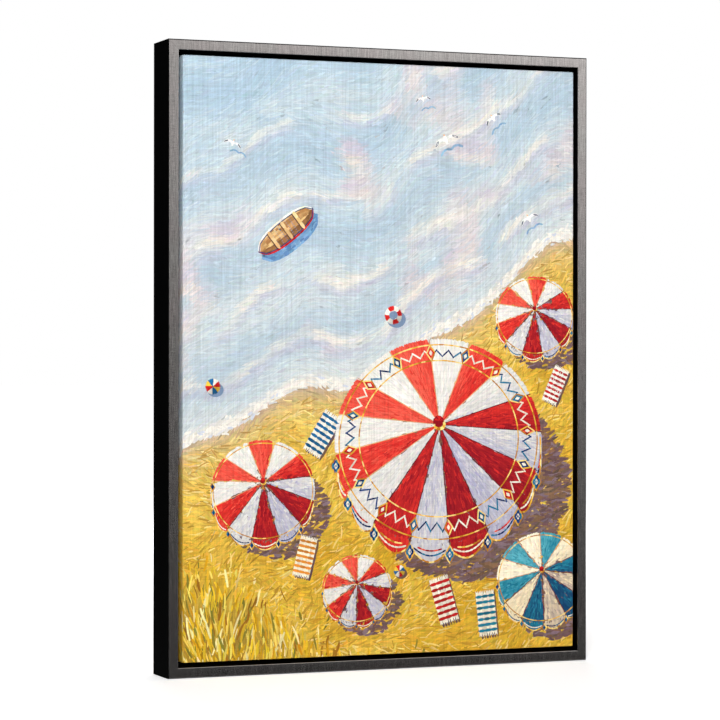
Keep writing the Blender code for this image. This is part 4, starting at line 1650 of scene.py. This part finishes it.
# White to the eye, a little light all round, and for shiny surfaces the tones above
def surroundings():
    world = bpy.data.worlds.new("studio")
    world.use_nodes = True
    tree = world.node_tree
    tree.nodes.clear()
    rays = addNode(tree, "ShaderNodeLightPath")
    place = addNode(tree, "ShaderNodeTexCoord")
    split = addNode(tree, "ShaderNodeSeparateXYZ")
    tree.links.new(place.outputs["Generated"], split.inputs["Vector"])
    height = mathOf(tree, "MULTIPLY_ADD", split.outputs["Z"], 0.5, 0.5)
    sideways = mathOf(tree, "MULTIPLY_ADD", split.outputs["X"], 0.5, 0.5)
    front = ramp(tree, height, mirrorTones["front"])
    behind = ramp(tree, height, mirrorTones["behind"])
    beyond = mathOf(tree, "MULTIPLY_ADD", ramp(tree, sideways, mirrorTones["across"]), 2.0, -1.0)
    gain = mathOf(tree, "MULTIPLY_ADD", mathOf(tree, "POWER", front, 0.5), beyond, 1.0)
    screened = smoothStep(tree, split.outputs["X"], -0.30, 0.15)
    ahead = smoothStep(tree, split.outputs["Y"], 0.35, -0.30)
    dimmer = scaleColour(tree, behind, screened)
    brighter = scaleColour(tree, front, gain)
    mirrored = mixColour(tree, "MIX", ahead, dimmer, brighter)
    glossy = addNode(tree, "ShaderNodeBackground", {"Strength": studio["mirrorStrength"]})
    tree.links.new(mirrored, glossy.inputs["Color"])
    even = addNode(tree, "ShaderNodeBackground", {"Color": (1, 1, 1, 1), "Strength": studio["ambient"]})
    white = addNode(tree, "ShaderNodeBackground", {"Color": (1, 1, 1, 1), "Strength": 1.0})
    shiny = addNode(tree, "ShaderNodeMixShader")
    tree.links.new(rays.outputs["Is Glossy Ray"], shiny.inputs[0])
    tree.links.new(even.outputs[0], shiny.inputs[1])
    tree.links.new(glossy.outputs[0], shiny.inputs[2])
    seen = addNode(tree, "ShaderNodeMixShader")
    tree.links.new(rays.outputs["Is Camera Ray"], seen.inputs[0])
    tree.links.new(shiny.outputs[0], seen.inputs[1])
    tree.links.new(white.outputs[0], seen.inputs[2])
    end = addNode(tree, "ShaderNodeOutputWorld")
    tree.links.new(seen.outputs[0], end.inputs["Surface"])
    return world


def buildStudio():
    shape = bmesh.new()
    bmesh.ops.create_grid(shape, x_segments=1, y_segments=1, size=studio["floorSize"] / 2)
    floor = bpy.data.objects.new("floor", bmeshToMesh(shape, "floor"))
    floor.location = (0, 0, floorZ - 0.0004)
    floor.data.materials.append(floorFinish())
    bpy.context.scene.collection.objects.link(floor)
    floor.visible_glossy = False
    middle = Vector((0, frontY, centreZ))
    for name, power, size, place in studio["lamps"]:
        lamp = bpy.data.lights.new(name, "AREA")
        lamp.energy = power
        lamp.size = size
        stand = bpy.data.objects.new(name, lamp)
        stand.location = Vector(place) + Vector((0, 0, centreZ))
        stand.rotation_euler = (middle - stand.location).to_track_quat("-Z", "Y").to_euler()
        stand.visible_glossy = name == "side"
        bpy.context.scene.collection.objects.link(stand)
    bpy.context.scene.world = surroundings()
    bpy.context.scene.view_settings.view_transform = "Standard"


buildStudio()
print("studio set")
